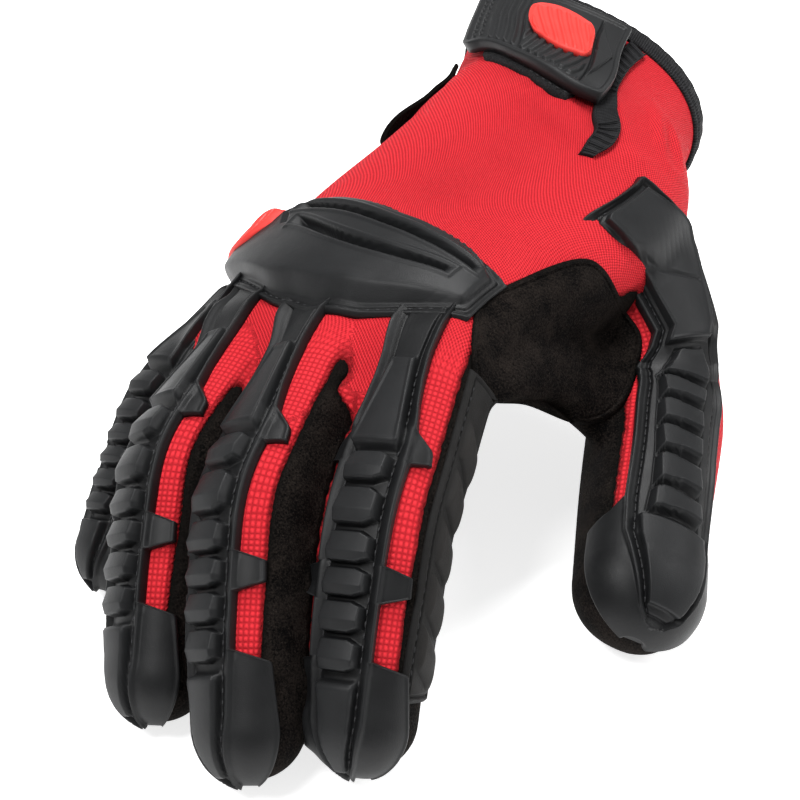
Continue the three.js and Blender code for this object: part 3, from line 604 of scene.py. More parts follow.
def upon(relief, raised, soft=0.15):
    """A raised form on what is there, with its foot rounded in."""
    return np.where(raised > relief - 0.6, higher(relief, raised, soft), relief)


def sleeve(a, top):
    """For a band closed underneath: which points are on top, and all points' share of the way across."""
    on_top = a <= top
    return on_top, np.where(on_top, a / top, (1 - a) / (1 - top))


def inner(on_top, share):
    """The points on top that don't lie on an edge."""
    return on_top & (share > EDGE_SHARE) & (share < 1 - EDGE_SHARE)


def edges_at(table, degrees):
    """The rear and front edges of a piece that lies across the hand."""
    return [HAND_LENGTH * between(table, degrees, c) for c in (1, 2)]


FLANGE_TOP = 1.5
SLOT_FLOOR = 1.0
NOTHING = -9.0  # lower than any relief
SUNK = -0.5  # the underside of a piece that lies on the fabric
EDGE_SHARE = 0.0001
GUARD_TOP = 150 / 160  # share of a guard's points that are on top

# place, where -1 is the neck, 0 the first slot, 6 the last one and 7 the end; half angle from the back
FINGER_FLANGE = [
    (-1.6, 0.55), (-1.3, 0.50), (-1.0, 0.47), (-0.75, 0.49), (-0.5, 0.54), (-0.25, 0.64), (-0.1, 0.96),
    (0.06, 1.0), (0.26, 0.66), (2.9, 0.62), (3.15, 1.08), (3.75, 1.1), (4.05, 0.62), (5.6, 0.62), (5.9, 1.25),
    (6.5, 1.45), (7.0, 1.45),
]
FINGER_RIM = [
    (-1.6, 0.47), (-1.3, 0.43), (-1, 0.40), (-0.75, 0.42), (-0.35, 0.51), (0, 0.53), (5.9, 0.52), (6.4, 0.48),
    (6.75, 0.36), (6.93, 0.18),
]
FINGER_PLATE = [(-0.97, 0.24), (-0.3, 0.39), (-0.12, 0.43), (-0.02, 0.41)]
FINGER_TIP = [(6.06, 0.38), (6.5, 0.32), (6.84, 0.16)]
BLOCK_HALF, BLOCK_FLAT = 0.40, 0.30  # half angles of a block's foot and top
SEWN_IN = 1.55  # from the raised rim to its stitches
GUARD_TIP = 3.0  # from the guard's end to the digit's


def guard_place(digit, at):
    last = digit.slot + 6 * digit.pitch
    rear = digit.neck + (digit.slot - digit.neck) * (at + 1)
    tip = last + (digit.end - GUARD_TIP - last) * (at - 6)
    return np.where(at <= 0, rear, np.where(at <= 6, digit.slot + digit.pitch * at, tip))


def finger_relief(digit, at, angle):
    """The moulding of a finger's guard."""
    r = digit.radius
    v = np.abs(angle)
    place = guard_place(digit, at)
    edge = (straight(FINGER_FLANGE, at) - v) * r
    rim = straight(FINGER_RIM, at)
    relief = rounded_edge(FLANGE_TOP, edge, 0.8) + 0.3 * hat((edge - 1.0) / 0.7)
    relief = relief + hat(((v - rim) * r - 0.1) / 1.15) * ease(edge / 0.6)
    relief = relief - 0.75 * hat(((v - rim) * r + SEWN_IN) / 0.7)
    relief = relief * (0.4 + 0.6 * ease((at + 1.5) / 0.25))
    bed = ease((BLOCK_HALF * r + 0.3 - v * r) / 0.5) * ease((at + 0.05) / 0.05) * ease((6.1 - at) / 0.05)
    relief = relief + (SLOT_FLOOR - relief) * bed
    # blocks: scales that rise to their front edge, with slots that widen to the right
    k = np.clip(np.floor(at), 0, 5)
    t = at - k
    taper = 0.94 + 0.06 * np.sin(np.pi * np.clip(at / 6, 0, 1))
    slot = (0.5 - np.abs(t - 0.5)) * digit.pitch - 0.3 - np.clip(angle - 0.16, 0, 0.2) * r * 0.4
    slot = slot - np.clip(-angle - 0.32, 0, 1) * r * 0.5
    top = (3.0 + 1.5 * np.clip(t / 0.6, 0, 1) - 0.9 * np.clip((t - 0.6) / 0.4, 0, 1)) * taper
    bevel = (top - 1.1) / ((BLOCK_HALF - BLOCK_FLAT) * r)
    block = lower(top, 1.1 + (BLOCK_HALF * taper - v) * r * bevel, 0.1)
    block = lower(block, 0.6 + slot * 6, 0.1)
    relief = upon(relief, np.where((at >= 0) & (at < 6), block, NOTHING))
    # a flat plate with a raised outline before the blocks
    half = straight(FINGER_PLATE, at)
    rising = np.clip((at + 0.97) / 0.95, 0, 1)
    first, last = (guard_place(digit, s) for s in (-0.97, -0.03))
    inset = np.minimum.reduce([(half - v) * r, last - place, (place - first) * 0.8])
    plate = lower(2.6 + 1.3 * rising, 1.0 + inset * 3, 0.12) + 0.35 * hat((inset - 1.1) / 0.6)
    relief = upon(relief, np.where(at < 0, plate, NOTHING))
    # a plate over the tip
    first, last = (guard_place(digit, s) for s in (6.05, 6.86))
    inset = np.minimum.reduce([(straight(FINGER_TIP, at) - v) * r, place - first, (last - place) * 0.6])
    plate = lower(4.0 - 1.4 * np.clip(at - 6, 0, 1), 1.0 + inset * 3, 0.12)
    return upon(relief, np.where(at > 6, plate, NOTHING))


def finger_guard_mesh(digit):
    first, last = FINGER_FLANGE[0][0], FINGER_FLANGE[-1][0]

    def place(a, b):
        at = first + (last - first) * b
        on_top, share = sleeve(a, 100 / 109)
        angle = straight(FINGER_FLANGE, at) * (2 * share - 1)
        height = np.where(inner(on_top, share), finger_relief(digit, at, angle), SUNK)
        return seats[digit.name].over(guard_place(digit, at), angle, height), {"relief": height}

    return grid(digit.name + "_guard", 109, 300, place)


# The thumb's guard: place along the thumb, and the angles of its left and right edges
THUMB_RIM = np.array([
    (-4, 0.19, 0.24), (-2, 0.08, 0.32), (1, -0.12, 0.42), (4, -0.32, 0.58), (7.5, -0.52, 0.9), (9, -0.55, 1.0),
    (15.5, -0.44, 1.0), (21.5, -0.32, 0.95), (29.5, -0.22, 0.9), (35, -0.16, 0.85), (39, -0.30, 0.75),
    (45, -0.60, 0.62), (51, -0.80, 0.36), (57, -0.88, 0.33), (66, -0.88, 0.32), (76, -0.86, 0.36),
    (86, -0.85, 0.46), (95, -0.85, 0.56), (104, -0.82, 0.64), (112, -0.64, 0.64), (120, -0.46, 0.60),
    (123, -0.25, 0.4), (124, -0.02, 0.1),
])
THUMB_EDGE = np.array([
    (-5, 0.21, 0.22), (-3, 0.10, 0.34), (0, -0.11, 0.46), (3, -0.30, 0.62), (6.5, -0.53, 0.92),
    (8.5, -0.60, 1.06), (15.5, -0.50, 1.06), (21.5, -0.38, 1.01), (29.5, -0.28, 0.96), (35, -0.22, 0.91),
    (39, -0.36, 0.81), (45, -0.66, 0.68), (51, -0.86, 0.42), (57, -0.94, 0.39), (66, -0.94, 0.38),
    (76, -0.92, 0.42), (86, -0.91, 0.52), (94, -0.91, 0.64), (98, -1.1, 0.8), (102, -1.48, 1.4),
    (108, -1.5, 1.5), (129, -1.45, 1.45),
])
THUMB_BLOCKS = np.array([
    (41, -0.02, 0.40), (49, -0.40, 0.22), (57, -0.68, 0.02), (65, -0.64, 0.00), (73.5, -0.62, 0.05),
    (82, -0.58, 0.09), (90.5, -0.55, 0.20), (98, -0.58, 0.32),
])
THUMB_SEWN_IN = 2.0
THUMB_TIP = np.array([(99.3, -0.68, 0.36), (105, -0.63, 0.50), (112, -0.48, 0.52), (119.5, -0.32, 0.46)])
THUMB_SLOTS = np.array([41, 57, 65, 73.5, 82, 90.5, 98])


def sides_at(table, u):
    return [np.interp(u, table[:, 0], table[:, c]) for c in (1, 2)]


def inset_of(table, u, angle):
    """Millimetres inside a table's edges on the thumb."""
    left, right = sides_at(table, u)
    ends = np.minimum(u - table[0, 0], table[-1, 0] - u)
    return np.minimum.reduce([(angle - left) * thumb.radius, (right - angle) * thumb.radius, ends])


def thumb_relief(u, angle):
    edge = inset_of(THUMB_EDGE, u, angle)
    rim = inset_of(THUMB_RIM, u, angle)
    relief = rounded_edge(FLANGE_TOP, edge, 0.8)
    relief = relief + hat(rim - 0.3) * ease(edge / 0.5) - 0.8 * hat((rim - THUMB_SEWN_IN) / 0.7)
    blocks = inset_of(THUMB_BLOCKS, u, angle)
    relief = relief + (SLOT_FLOOR - relief) * ease((blocks + 0.3) / 0.4)
    # the plate on the thumb's root, with a double border and a shallow step across it
    inset = np.minimum(rim - 3.0, 39.3 - u)
    plate = lower(3.7, 1.0 + inset * 3, 0.15) + 0.45 * hat((inset - 0.9) / 0.7)
    line = u - np.interp(angle, [-0.25, 0.05, 0.6], [16.0, 20.5, 23.5])
    plate = plate - 0.55 * hat(line / 0.7) * ease((inset - 1.8) / 0.5)
    relief = upon(relief, np.where(inset > -1, plate, NOTHING))
    # six blocks between seven slots
    left, right = sides_at(THUMB_BLOCKS, u)
    across = np.clip((angle - left) / np.maximum(right - left, 0.1), 0, 1)
    run = u - 1.3 * np.clip(1 - across / 0.22, 0, 1)
    k = np.clip(np.searchsorted(THUMB_SLOTS, run) - 1, 0, 5)
    start, stop = THUMB_SLOTS[k], THUMB_SLOTS[k + 1]
    slot = np.minimum(run - start, stop - run) - 0.4 - 0.6 * ease((across - 0.25) / 0.35)
    top = 3.3 + np.clip((run - start) / (stop - start), 0, 1)
    block = lower(top, 1.1 + (angle - left) * thumb.radius * 1.6, 0.1)
    block = lower(block, 1.1 + (right - angle) * thumb.radius * 2.6, 0.1)
    block = lower(block, 0.6 + slot * 6, 0.1)
    relief = upon(relief, np.where((run > THUMB_SLOTS[0]) & (run < THUMB_SLOTS[-1]), block, NOTHING))
    # the plate over the tip
    plate = lower(3.9 - 0.04 * (u - 99), 1.0 + inset_of(THUMB_TIP, u, angle) * 3, 0.12)
    return upon(relief, np.where(u > 98.5, plate, NOTHING))


def thumb_guard_mesh():
    first, last = THUMB_EDGE[0, 0], thumb.end - 2.6

    def place(a, b):
        u = first + (last - first) * b
        left, right = sides_at(THUMB_EDGE, u)
        on_top, share = sleeve(a, GUARD_TOP)
        angle = left + (right - left) * share
        height = np.where(inner(on_top, share), thumb_relief(u, angle), SUNK)
        return seats["thumb"].over(u, angle, height), {"relief": height}

    return grid("thumb_guard", 160, 380, place)


# The knuckle guard: degrees from the back, rear and front edges in shares of the hand's length, height

KNUCKLE_FLANGE = [
    (-94, 0.25, 0.16), (-66, 0.25, 0.03), (-45, 0.262, -0.025), (-20, 0.246, -0.045), (10, 0.216, -0.058),
    (35, 0.196, -0.053), (55, 0.165, -0.035), (74, 0.12, 0.0),
]
KNUCKLE_BAR = [
    (-92, 0.232, 0.175, 0.5), (-86, 0.24, 0.14, 0.9), (-66, 0.24, 0.06, 1.0), (-45, 0.252, 0.0, 1.0),
    (-20, 0.236, -0.02, 1.0), (10, 0.206, -0.033, 1.0), (35, 0.186, -0.03, 1.0), (55, 0.155, -0.01, 0.9),
    (70, 0.11, 0.02, 0.6),
]
KNUCKLE_SLOTS = [
    [(-52, 0.219, 0.203), (-20, 0.187, 0.171), (10, 0.156, 0.141), (40, 0.131, 0.116), (62, 0.107, 0.097)],
    [(-46, 0.168, 0.150), (-20, 0.121, 0.101), (10, 0.088, 0.069), (40, 0.075, 0.059), (56, 0.074, 0.064)],
]
KNUCKLE_SLOT_DEEP = 3.4
KNUCKLE_SEWN_OUT = 1.3  # from the bar to the stitches around it


def from_ends(table, degrees):
    """Millimetres from the nearer end of a piece that lies across the knuckles."""
    return np.minimum(degrees - table[0][0], table[-1][0] - degrees) * 0.7


def knuckle_relief(y, degrees):
    rear, front = edges_at(KNUCKLE_FLANGE, degrees)
    edge = np.minimum(np.minimum(rear - y, y - front), from_ends(KNUCKLE_FLANGE, degrees))
    relief = rounded_edge(FLANGE_TOP, edge, 0.8) + 0.3 * hat((edge - 1.0) / 0.7)
    rear, front = edges_at(KNUCKLE_BAR, degrees)
    inside = lower(np.minimum(rear - y, y - front), from_ends(KNUCKLE_BAR, degrees), 1.0)
    relief = relief - 0.7 * hat((inside + KNUCKLE_SEWN_OUT) / 0.7)
    middle = (y - (rear + front) / 2) / np.maximum(rear - front, 1)
    top = 6.4 * between(KNUCKLE_BAR, degrees, 3) - 2.2 * middle**2
    bar = lower(top, 1.2 + 1.35 * inside, 0.8)
    bar = lower(bar, 0.8 + 4 * inside, 0.3)
    for table in KNUCKLE_SLOTS:
        back, fore = edges_at(table, degrees)
        within = np.minimum(np.minimum(back - y, y - fore), from_ends(table, degrees) * 6 / 7)
        bar = bar - KNUCKLE_SLOT_DEEP * ease((within + 0.35) / 0.5)
        bar = bar + 0.4 * hat((within + 1.2) / 0.9)
    slant = (degrees + 55 + (y - 26) * 0.9) * 0.75
    joint = np.minimum(0.8 - np.abs(slant), np.minimum(30 - y, y - 22.3))
    bar = bar - KNUCKLE_SLOT_DEEP * ease((joint + 0.35) / 0.5)
    return upon(relief, bar, 0.25)


def knuckle_mesh():
    first, last = KNUCKLE_FLANGE[0][0], KNUCKLE_FLANGE[-1][0]

    def place(a, b):
        degrees = first + (last - first) * b
        rear, front = edges_at(KNUCKLE_FLANGE, degrees)
        on_top, share = sleeve(a, GUARD_TOP)
        y = front + (rear - front) * share
        height = np.where(inner(on_top, share), knuckle_relief(y, degrees), SUNK)
        return palm_seat.over(y, degrees, height), {"relief": height}

    return grid("knuckle_guard", 160, 420, place)

# Finishes


class Value:
    """A socket that takes Python's operators."""

    def __init__(self, finish, socket):
        self.finish, self.socket = finish, socket

    def __add__(self, other):
        return self.finish.sum("ADD", self, other)

    def __sub__(self, other):
        return self.finish.sum("SUBTRACT", self, other)

    def __mul__(self, other):
        return self.finish.sum("MULTIPLY", self, other)

    def __pow__(self, other):
        return self.finish.sum("POWER", self, other)

    __radd__, __rmul__ = __add__, __mul__


class Finish:
    """A material, made of nodes that feed its shader."""

    def __init__(self, name, **constants):
        self.material = bpy.data.materials.new(name)
        self.material.use_nodes = True
        self.tree = self.material.node_tree
        self.shader = next(n for n in self.tree.nodes if n.type == "BSDF_PRINCIPLED")
        for key, value in constants.items():
            self.shader.inputs[key.replace("_", " ").title().replace("Ior", "IOR")].default_value = value

    def node(self, kind, settings=None, values=None, output=0):
        made = self.tree.nodes.new("ShaderNode" + kind)
        for key, value in (settings or {}).items():
            setattr(made, key, value)
        items = values.items() if isinstance(values, dict) else enumerate(values or [])
        for key, value in items:
            if isinstance(value, Value):
                self.tree.links.new(value.socket, made.inputs[key])
            else:
                made.inputs[key].default_value = value
        return Value(self, made.outputs[output])

    def sum(self, operation, *values):
        return self.node("Math", {"operation": operation}, values)

    def attribute(self, name, output="Vector"):
        return self.node("Attribute", {"attribute_name": name}, output=output)

    def parts(self, vector):
        made = self.tree.nodes.new("ShaderNodeSeparateXYZ")
        self.tree.links.new(vector.socket, made.inputs[0])
        return [Value(self, out) for out in made.outputs]

    def noise(self, size, detail=2.0, rough=0.5):
        """Noise with features of about size millimetres."""
        place = self.node("TexCoord", output="Object")
        values = {"Vector": place, "Scale": 1 / (size * MM), "Detail": detail, "Roughness": rough}
        return self.node("TexNoise", {}, values, "Fac")

    def range(self, value, low, high, to_low=0.0, to_high=1.0):
        values = {"Value": value, "From Min": low, "From Max": high, "To Min": to_low, "To Max": to_high}
        return self.node("MapRange", {}, values, "Result")

    def spread(self, noise, low, high):
        """The middle of a noise's range, stretched from low to high."""
        return self.range(noise, 0.3, 0.7, low, high)

    def blend(self, share, a, b):
        """From colour a to colour b."""
        made = self.tree.nodes.new("ShaderNodeMix")
        made.data_type = "RGBA"
        for key, value in ((0, share), (6, a), (7, b)):
            if isinstance(value, Value):
                self.tree.links.new(value.socket, made.inputs[key])
            else:
                made.inputs[key].default_value = (*value, 1) if key else value
        return Value(self, made.outputs[2])

    def wave(self, value, period):
        """A ribbed value from 0 to 1, with a period in the value's own unit."""
        return self.sum("SINE", value * (2 * math.pi / period)) * 0.5 + 0.5

    def bump(self, height, deep, under=None):
        """Normals of a height from 0 to 1 that stands for so many millimetres."""
        values = {"Strength": 1.0, "Distance": deep * MM, "Height": height}
        if under:
            values["Normal"] = under
        return self.node("Bump", {}, values)

    def feed(self, **links):
        for key, value in links.items():
            self.tree.links.new(value.socket, self.shader.inputs[key.replace("_", " ").title()])
        return self.material


def red_knit():
    f = Finish("red_knit", specular_ior_level=0.12)
    across, along, kind = f.parts(f.attribute("weave"))
    waver = f.noise(5, 2) * 0.5
    twill = f.wave(across + along + waver, 0.95) * 0.6
    twill = twill + f.wave(across - along * 0.35 + waver, 0.62) * 0.4
    cells = (f.wave(across, 1.25) * f.wave(along, 1.25)) ** 0.6 * 0.8 + 0.2
    thread = f.node("Mix", {}, {0: kind, 2: twill, 3: cells}, 0)
    fuzz = f.noise(0.35, 2)
    cloudy = f.noise(28, 3)
    deep = f.blend(cloudy, (0.26, 0.005, 0.010), (0.32, 0.007, 0.012))
    bright = f.blend(cloudy, (0.60, 0.021, 0.030), (0.72, 0.033, 0.044))
    shown = f.range(thread * 0.85 + fuzz * 0.35, 0.25, 0.9)
    seam = f.range(f.attribute("seam", "Fac"), 0.0, 1.1)
    colour = f.blend(shown, deep, bright)
    colour = f.blend(seam, (0.16, 0.003, 0.005), colour)
    worn = f.spread(f.noise(1.1, 2), 0.74, 0.92)
    weave = f.bump(thread + fuzz * 0.35, 0.24)
    return f.feed(base_color=colour, roughness=worn, normal=f.bump(seam, 0.5, weave))


def black_suede():
    f = Finish("black_suede", specular_ior_level=0.05)
    nap = f.noise(0.5, 4, 0.65)
    brushed = f.noise(7, 4, 0.6)
    mottle = f.range(nap * 0.7 + brushed * 0.45, 0.50, 0.70)
    colour = f.blend(mottle, (0.0004, 0.0003, 0.0003), (0.0150, 0.0118, 0.0100))
    specks = f.range(f.noise(0.28, 1), 0.62, 0.72)
    colour = f.blend(specks * 0.5, colour, (0.036, 0.029, 0.025))
    seam = f.range(f.attribute("seam", "Fac"), 0.0, 1.4)
    roughness = f.spread(brushed, 0.82, 0.98)
    pile = f.bump(nap, 0.4, f.bump(brushed, 0.6))
    return f.feed(base_color=f.blend(seam, (0.004, 0.0035, 0.003), colour), roughness=roughness,
                  normal=f.bump(seam, 0.6, pile))


def black_rubber():
    f = Finish("black_rubber", specular_ior_level=0.22)
    grain = f.noise(0.22, 2)
    bloom = f.noise(9, 4, 0.6)
    # Painted shade and highlight: darker in the low slots and grooves, lighter on the raised tops, by the relief's
    # height; the bloom noise adds random tone.
    high = f.range(f.attribute("relief", "Fac"), 0.4, 3.2)
    relief_shade_and_tone = f.range(high * 0.6 + bloom * 0.5, 0.2, 1.0)
    colour = f.blend(relief_shade_and_tone, (0.0030, 0.0031, 0.0034), (0.0125, 0.013, 0.0138))
    dust = f.range(f.noise(2.4, 5, 0.7), 0.6, 0.8)
    colour = f.blend(dust * 0.12, colour, (0.0325, 0.0338, 0.03588))
    roughness = f.spread(bloom * 0.6 + grain * 0.4, 0.40, 0.56)
    return f.feed(base_color=colour, roughness=roughness, normal=f.bump(grain, 0.035, f.bump(bloom, 0.12)))


def embossed_leather():
    f = Finish("embossed_leather", specular_ior_level=0.2)
    pores, patches = f.noise(0.35, 4, 0.7), f.noise(5, 3)
    # Painted shade and highlight: darker in the low parts, lighter on the raised ribs and rim, by the relief's
    # height; the pores and patches add random tone.
    high = f.range(f.attribute("relief", "Fac"), 0.8, 2.6)
    relief_shade_and_tone = f.range(high * 0.6 + pores * 0.4 + patches * 0.3, 0.3, 1.1)
    colour = f.blend(relief_shade_and_tone, (0.004, 0.0038, 0.0036), (0.017, 0.0155, 0.0145))
    return f.feed(base_color=colour, roughness=f.spread(patches, 0.6, 0.78), normal=f.bump(pores, 0.14))


def red_rubber():
    f = Finish("red_rubber", specular_ior_level=0.25)
    grain, bloom = f.noise(0.3, 2), f.noise(6, 3)
    colour = f.blend(bloom, (0.66, 0.032, 0.026), (0.78, 0.050, 0.040))
    return f.feed(base_color=colour, roughness=f.spread(bloom, 0.48, 0.62), normal=f.bump(grain, 0.04))


def ribbed_tape():
    f = Finish("ribbed_tape", specular_ior_level=0.15)
    across, along, _ = f.parts(f.attribute("weave"))
    ribs = f.wave(along + f.noise(3, 1) * 0.3, 0.85)
    yarn = f.wave(across, 0.6)
    thread = ribs * 0.75 + yarn * 0.25
    colour = f.blend(thread, (0.003, 0.003, 0.0033), (0.022, 0.022, 0.024))
    return f.feed(base_color=colour, roughness=f.spread(f.noise(2, 2), 0.7, 0.9), normal=f.bump(thread, 0.3))


def loop_pile():
    f = Finish("loop_pile", sheen_weight=0.05, sheen_roughness=0.6, specular_ior_level=0.05)
    curls = f.noise(0.7, 4, 0.7)
    clumps = f.noise(3.0, 3)
    shown = f.range(curls * 0.7 + clumps * 0.4, 0.3, 0.8)
    colour = f.blend(shown, (0.002, 0.002, 0.002), (0.020, 0.020, 0.022))
    return f.feed(base_color=colour, roughness=f.spread(clumps, 0.88, 1.0), normal=f.bump(curls, 0.9))


def sewing_thread():
    f = Finish("sewing_thread", specular_ior_level=0.3)
    twist = f.noise(0.25, 1)
    colour = f.blend(twist, (0.010, 0.010, 0.011), (0.045, 0.045, 0.048))
    return f.feed(base_color=colour, roughness=f.spread(twist, 0.5, 0.75), normal=f.bump(twist, 0.08))


def studio_paper():
    f = Finish("studio_paper", specular_ior_level=0.1, emission_strength=0.75, emission_color=(1, 1, 1, 1))
    fibre = f.noise(4, 3)
    colour = f.blend(fibre, (0.90, 0.90, 0.90), (0.92, 0.92, 0.92))
    return f.feed(base_color=colour, roughness=f.spread(fibre, 0.9, 1.0))


RED_KNIT, BLACK_SUEDE, EMBOSSED = red_knit(), black_suede(), embossed_leather()
BLACK_RUBBER, RED_RUBBER = black_rubber(), red_rubber()
RIBBED_TAPE, LOOP_PILE, THREAD, PAPER = ribbed_tape(), loop_pile(), sewing_thread(), studio_paper()

# The knit and the suede


point_attribute(skin, "weave", weave_at)
point_attribute(skin, "inside", knit_inside)
point_attribute(skin, "seam", np.abs(knit_inside))


def fabric(name, side):
    """The wall on one side of the knit's edge: 1 inside it, -1 outside."""
    bm = bmesh.new()
    bm.from_mesh(skin)
    inside = bm.verts.layers.float["inside"]
    gone = [f for f in bm.faces if side * sum(v[inside] for v in f.verts) <= 0]
    bmesh.ops.delete(bm, geom=gone, context="FACES")
    wall = {"thickness": WALL * MM, "offset": -1.0, "use_rim": True}
    return applied(name, mesh_of(name, bm), ("SOLIDIFY", wall))


piece("knit_back", fabric("knit_back", 1), RED_KNIT, ["knit_back"])
piece("suede_palm", fabric("suede_palm", -1), BLACK_SUEDE, ["suede_palm"])

# The guards

for digit in digits:
    guard = thumb_guard_mesh() if digit is thumb else finger_guard_mesh(digit)
    piece(digit.name + "_guard", guard, BLACK_RUBBER, [digit.name + "_guard"])
piece("knuckle_guard", knuckle_mesh(), BLACK_RUBBER, ["knuckle_guard"])

# The sewn pieces and the cuff


PER_DEGREE = 0.72  # millimetres around the wrist


def band(name, table, across, along, relief, low):
    """A piece laid across the hand: a table gives its edges, and relief(y, degrees, edge) its top."""
    first, last = table[0][0], table[-1][0]

    def place(a, b):
        degrees = first + (last - first) * b
        rear, front = edges_at(table, degrees)
        on_top, share = sleeve(a, 0.88)
        y = front + (rear - front) * share
        ends = np.minimum(degrees - first, last - degrees) * PER_DEGREE
        edge = lower(np.minimum(rear - y, y - front), ends, 0.8)
        height = np.where(inner(on_top, share), relief(y, degrees, np.maximum(edge, 0)), low)
        return palm_seat.over(y, degrees, height), {"relief": height}

    return grid(name, across, along, place)


def weave_of(across, along):
    return np.stack([across, along, 0 * across], 1)


LOOP = [(-60, 0.9, 0.72), (-40, 0.9, 0.685), (-10, 0.9, 0.64), (1, 0.9, 0.635)]
STRAP = [
    (-68, 0.965, 0.76), (-64, 0.972, 0.742), (-57, 0.965, 0.735), (-40, 0.955, 0.7), (-15, 0.945, 0.66),
    (5, 0.95, 0.65), (17, 0.955, 0.66),
]
STRAP_BADGE = [
    (-36, 0.868, 0.82), (-33, 0.882, 0.785), (-28, 0.89, 0.765), (-8, 0.88, 0.745), (-3, 0.87, 0.75),
    (0, 0.85, 0.775),
]
KNUCKLE_BADGE = [(-84, 0.215, 0.175), (-78, 0.225, 0.16), (-66, 0.228, 0.15), (-60, 0.215, 0.175)]


def loop_relief(y, degrees, edge):
    fuzz = np.sin(y * 4.1 + np.sin(degrees * 1.9) * 2) * np.sin(degrees * 2.7 + np.sin(y * 2.3) * 2)
    return -0.3 + 1.9 * ease(edge / 0.9) + 0.14 * fuzz * ease(edge / 0.6)


STRAP_TOP, STRAP_LOW = 4.6, 1.9


def strap_relief(y, degrees, edge):
    rear, front = edges_at(STRAP, degrees)
    up = (y - front) / (rear - front)
    relief = STRAP_LOW + rounded_edge(STRAP_TOP - STRAP_LOW, edge, 0.9)
    relief = relief + 0.65 * ease(edge / 0.5) * ease((3.0 - edge) / 0.8)
    field = ease((edge - 3.4) / 0.4)
    lines = lambda half, places: sum(hat((degrees - at) * PER_DEGREE / half) for at in places)
    grips = lines(0.8, (-61.5, -58.0)) * hat((((y - 110) / 2.6) % 1 - 0.5) * 2.6 / 0.85)
    bars = lines(0.9, (-53.5, -49.5, -45.5, -41.5))
    slant = (degrees * PER_DEGREE - y * 0.55) / 4.2
    rays = ease((0.3 - np.abs(slant % 1 - 0.5)) / 0.09) * ease((0.42 - up) / 0.05)
    rays = rays * ease((-1 - degrees) / 1.5) * ease((degrees + 38) / 1.5)
    wing = np.abs(up - 0.5) * 26 + (degrees - 3) * 0.9
    wings = ease((4.2 - np.abs(wing - 4)) / 0.5) * ease((degrees - 1.5) / 1.5)
    raised = 0.7 * grips + 0.9 * bars + 0.75 * rays + 0.8 * wings
    return relief + field * (raised - 0.7 * np.clip(lines(0.6, (-38.5, 1.0)), 0, 1))


def badge_relief(low, high, tilt):
    """A plain plate with a sunk field and three bars in it."""

    def relief(y, degrees, edge):
        plate = low + rounded_edge(high - low, edge, 0.5)
        sunk = ease((edge - 1.0) / 0.3)
        bars = ease((0.24 - np.abs(((degrees * PER_DEGREE + tilt * y) / 3.6) % 1 - 0.5)) / 0.08)
        return plate - 0.55 * sunk * (1 - bars * ease((edge - 1.7) / 0.3))

    return relief


# The binding's section, folded around the mouth: place and height over the fabric
BINDING = np.array([
    (133.6, 0.1), (133.8, 0.9), (135.2, 1.3), (138.5, 1.35), (140.4, 1.1), (141.3, 0.2), (141.5, -0.8),
    (141.2, -1.9), (140.3, -2.7), (138.0, -2.9), (134.8, -2.8), (134.0, -2.3), (134.2, -1.7), (137.0, -1.65),
    (139.6, -1.6), (140.05, -0.8), (139.6, 0.05), (136.0, 0.05), (133.6, 0.1),
])


def binding_mesh():
    steps = np.append(0, np.cumsum(np.hypot(*np.diff(BINDING, axis=0).T)))

    def place(a, b):
        degrees = 360 * b - 180
        around = a * steps[-1]
        y, height = (np.interp(around, steps, BINDING[:, c]) for c in (0, 1))
        pucker = 0.22 * np.sin(degrees * DEG * 46) * np.clip((height + 0.2) / 0.8, 0, 1)
        groove = 0.35 * hat((y - 135.6) / 0.8) * (height > 0.3)
        points = cuff_seat.over(np.minimum(y, 139), degrees, height + pucker * 0.4 - groove)
        points = points + np.stack([0 * y, np.maximum(0, y - 139), 0 * y], 1)
        return points, {"weave": weave_of(around, degrees * 0.62)}

    return grid("cuff_binding", 56, 300, place)


TAPE_HALF, TAPE_LENGTH = 4.1, 66.0
TAPE_PATH = np.array([[25, 0.95], [20, 0.85], [16, 0.74], [22, 0.665], [32, 0.61], [36, 0.53]])


def tape_mesh():
    def place(a, b):
        path = lambda t: spline(TAPE_PATH * [1, HAND_LENGTH], np.clip(t, 0, 1))
        here = path(b)
        way = unit((path(b + 0.01) - path(b - 0.01)) * [PER_DEGREE, 1])
        on_top, share = sleeve(a, 0.8)
        share = 2 * share - 1
        out = share * TAPE_HALF * (0.6 + 0.4 * ease((1 - b) / 0.12))
        degrees, y = here[:, 0] - out * way[:, 1] / PER_DEGREE, here[:, 1] + out * way[:, 0]
        run = b * TAPE_LENGTH
        ribbed = np.clip(ease((0.5 - b) / 0.06) + ease((b - 0.68) / 0.06), 0, 1)
        ribs = 0.16 * np.sin(run * 2 * math.pi / 1.15) * ribbed * ease((0.86 - np.abs(share)) / 0.08)
        lip = 0.3 * hat((np.abs(share) - 0.88) / 0.12)
        top = 1.25 + ribs + lip
        ends = np.minimum(1, np.minimum(b, 1 - b) / 0.012)
        height = np.where(on_top & (np.abs(share) < 0.9999), SUNK + (top - SUNK) * np.sqrt(ends), SUNK)
        return palm_seat.over(y, degrees, height), {"weave": weave_of(out, run)}

    return grid("vent_tape", 46, 330, place)


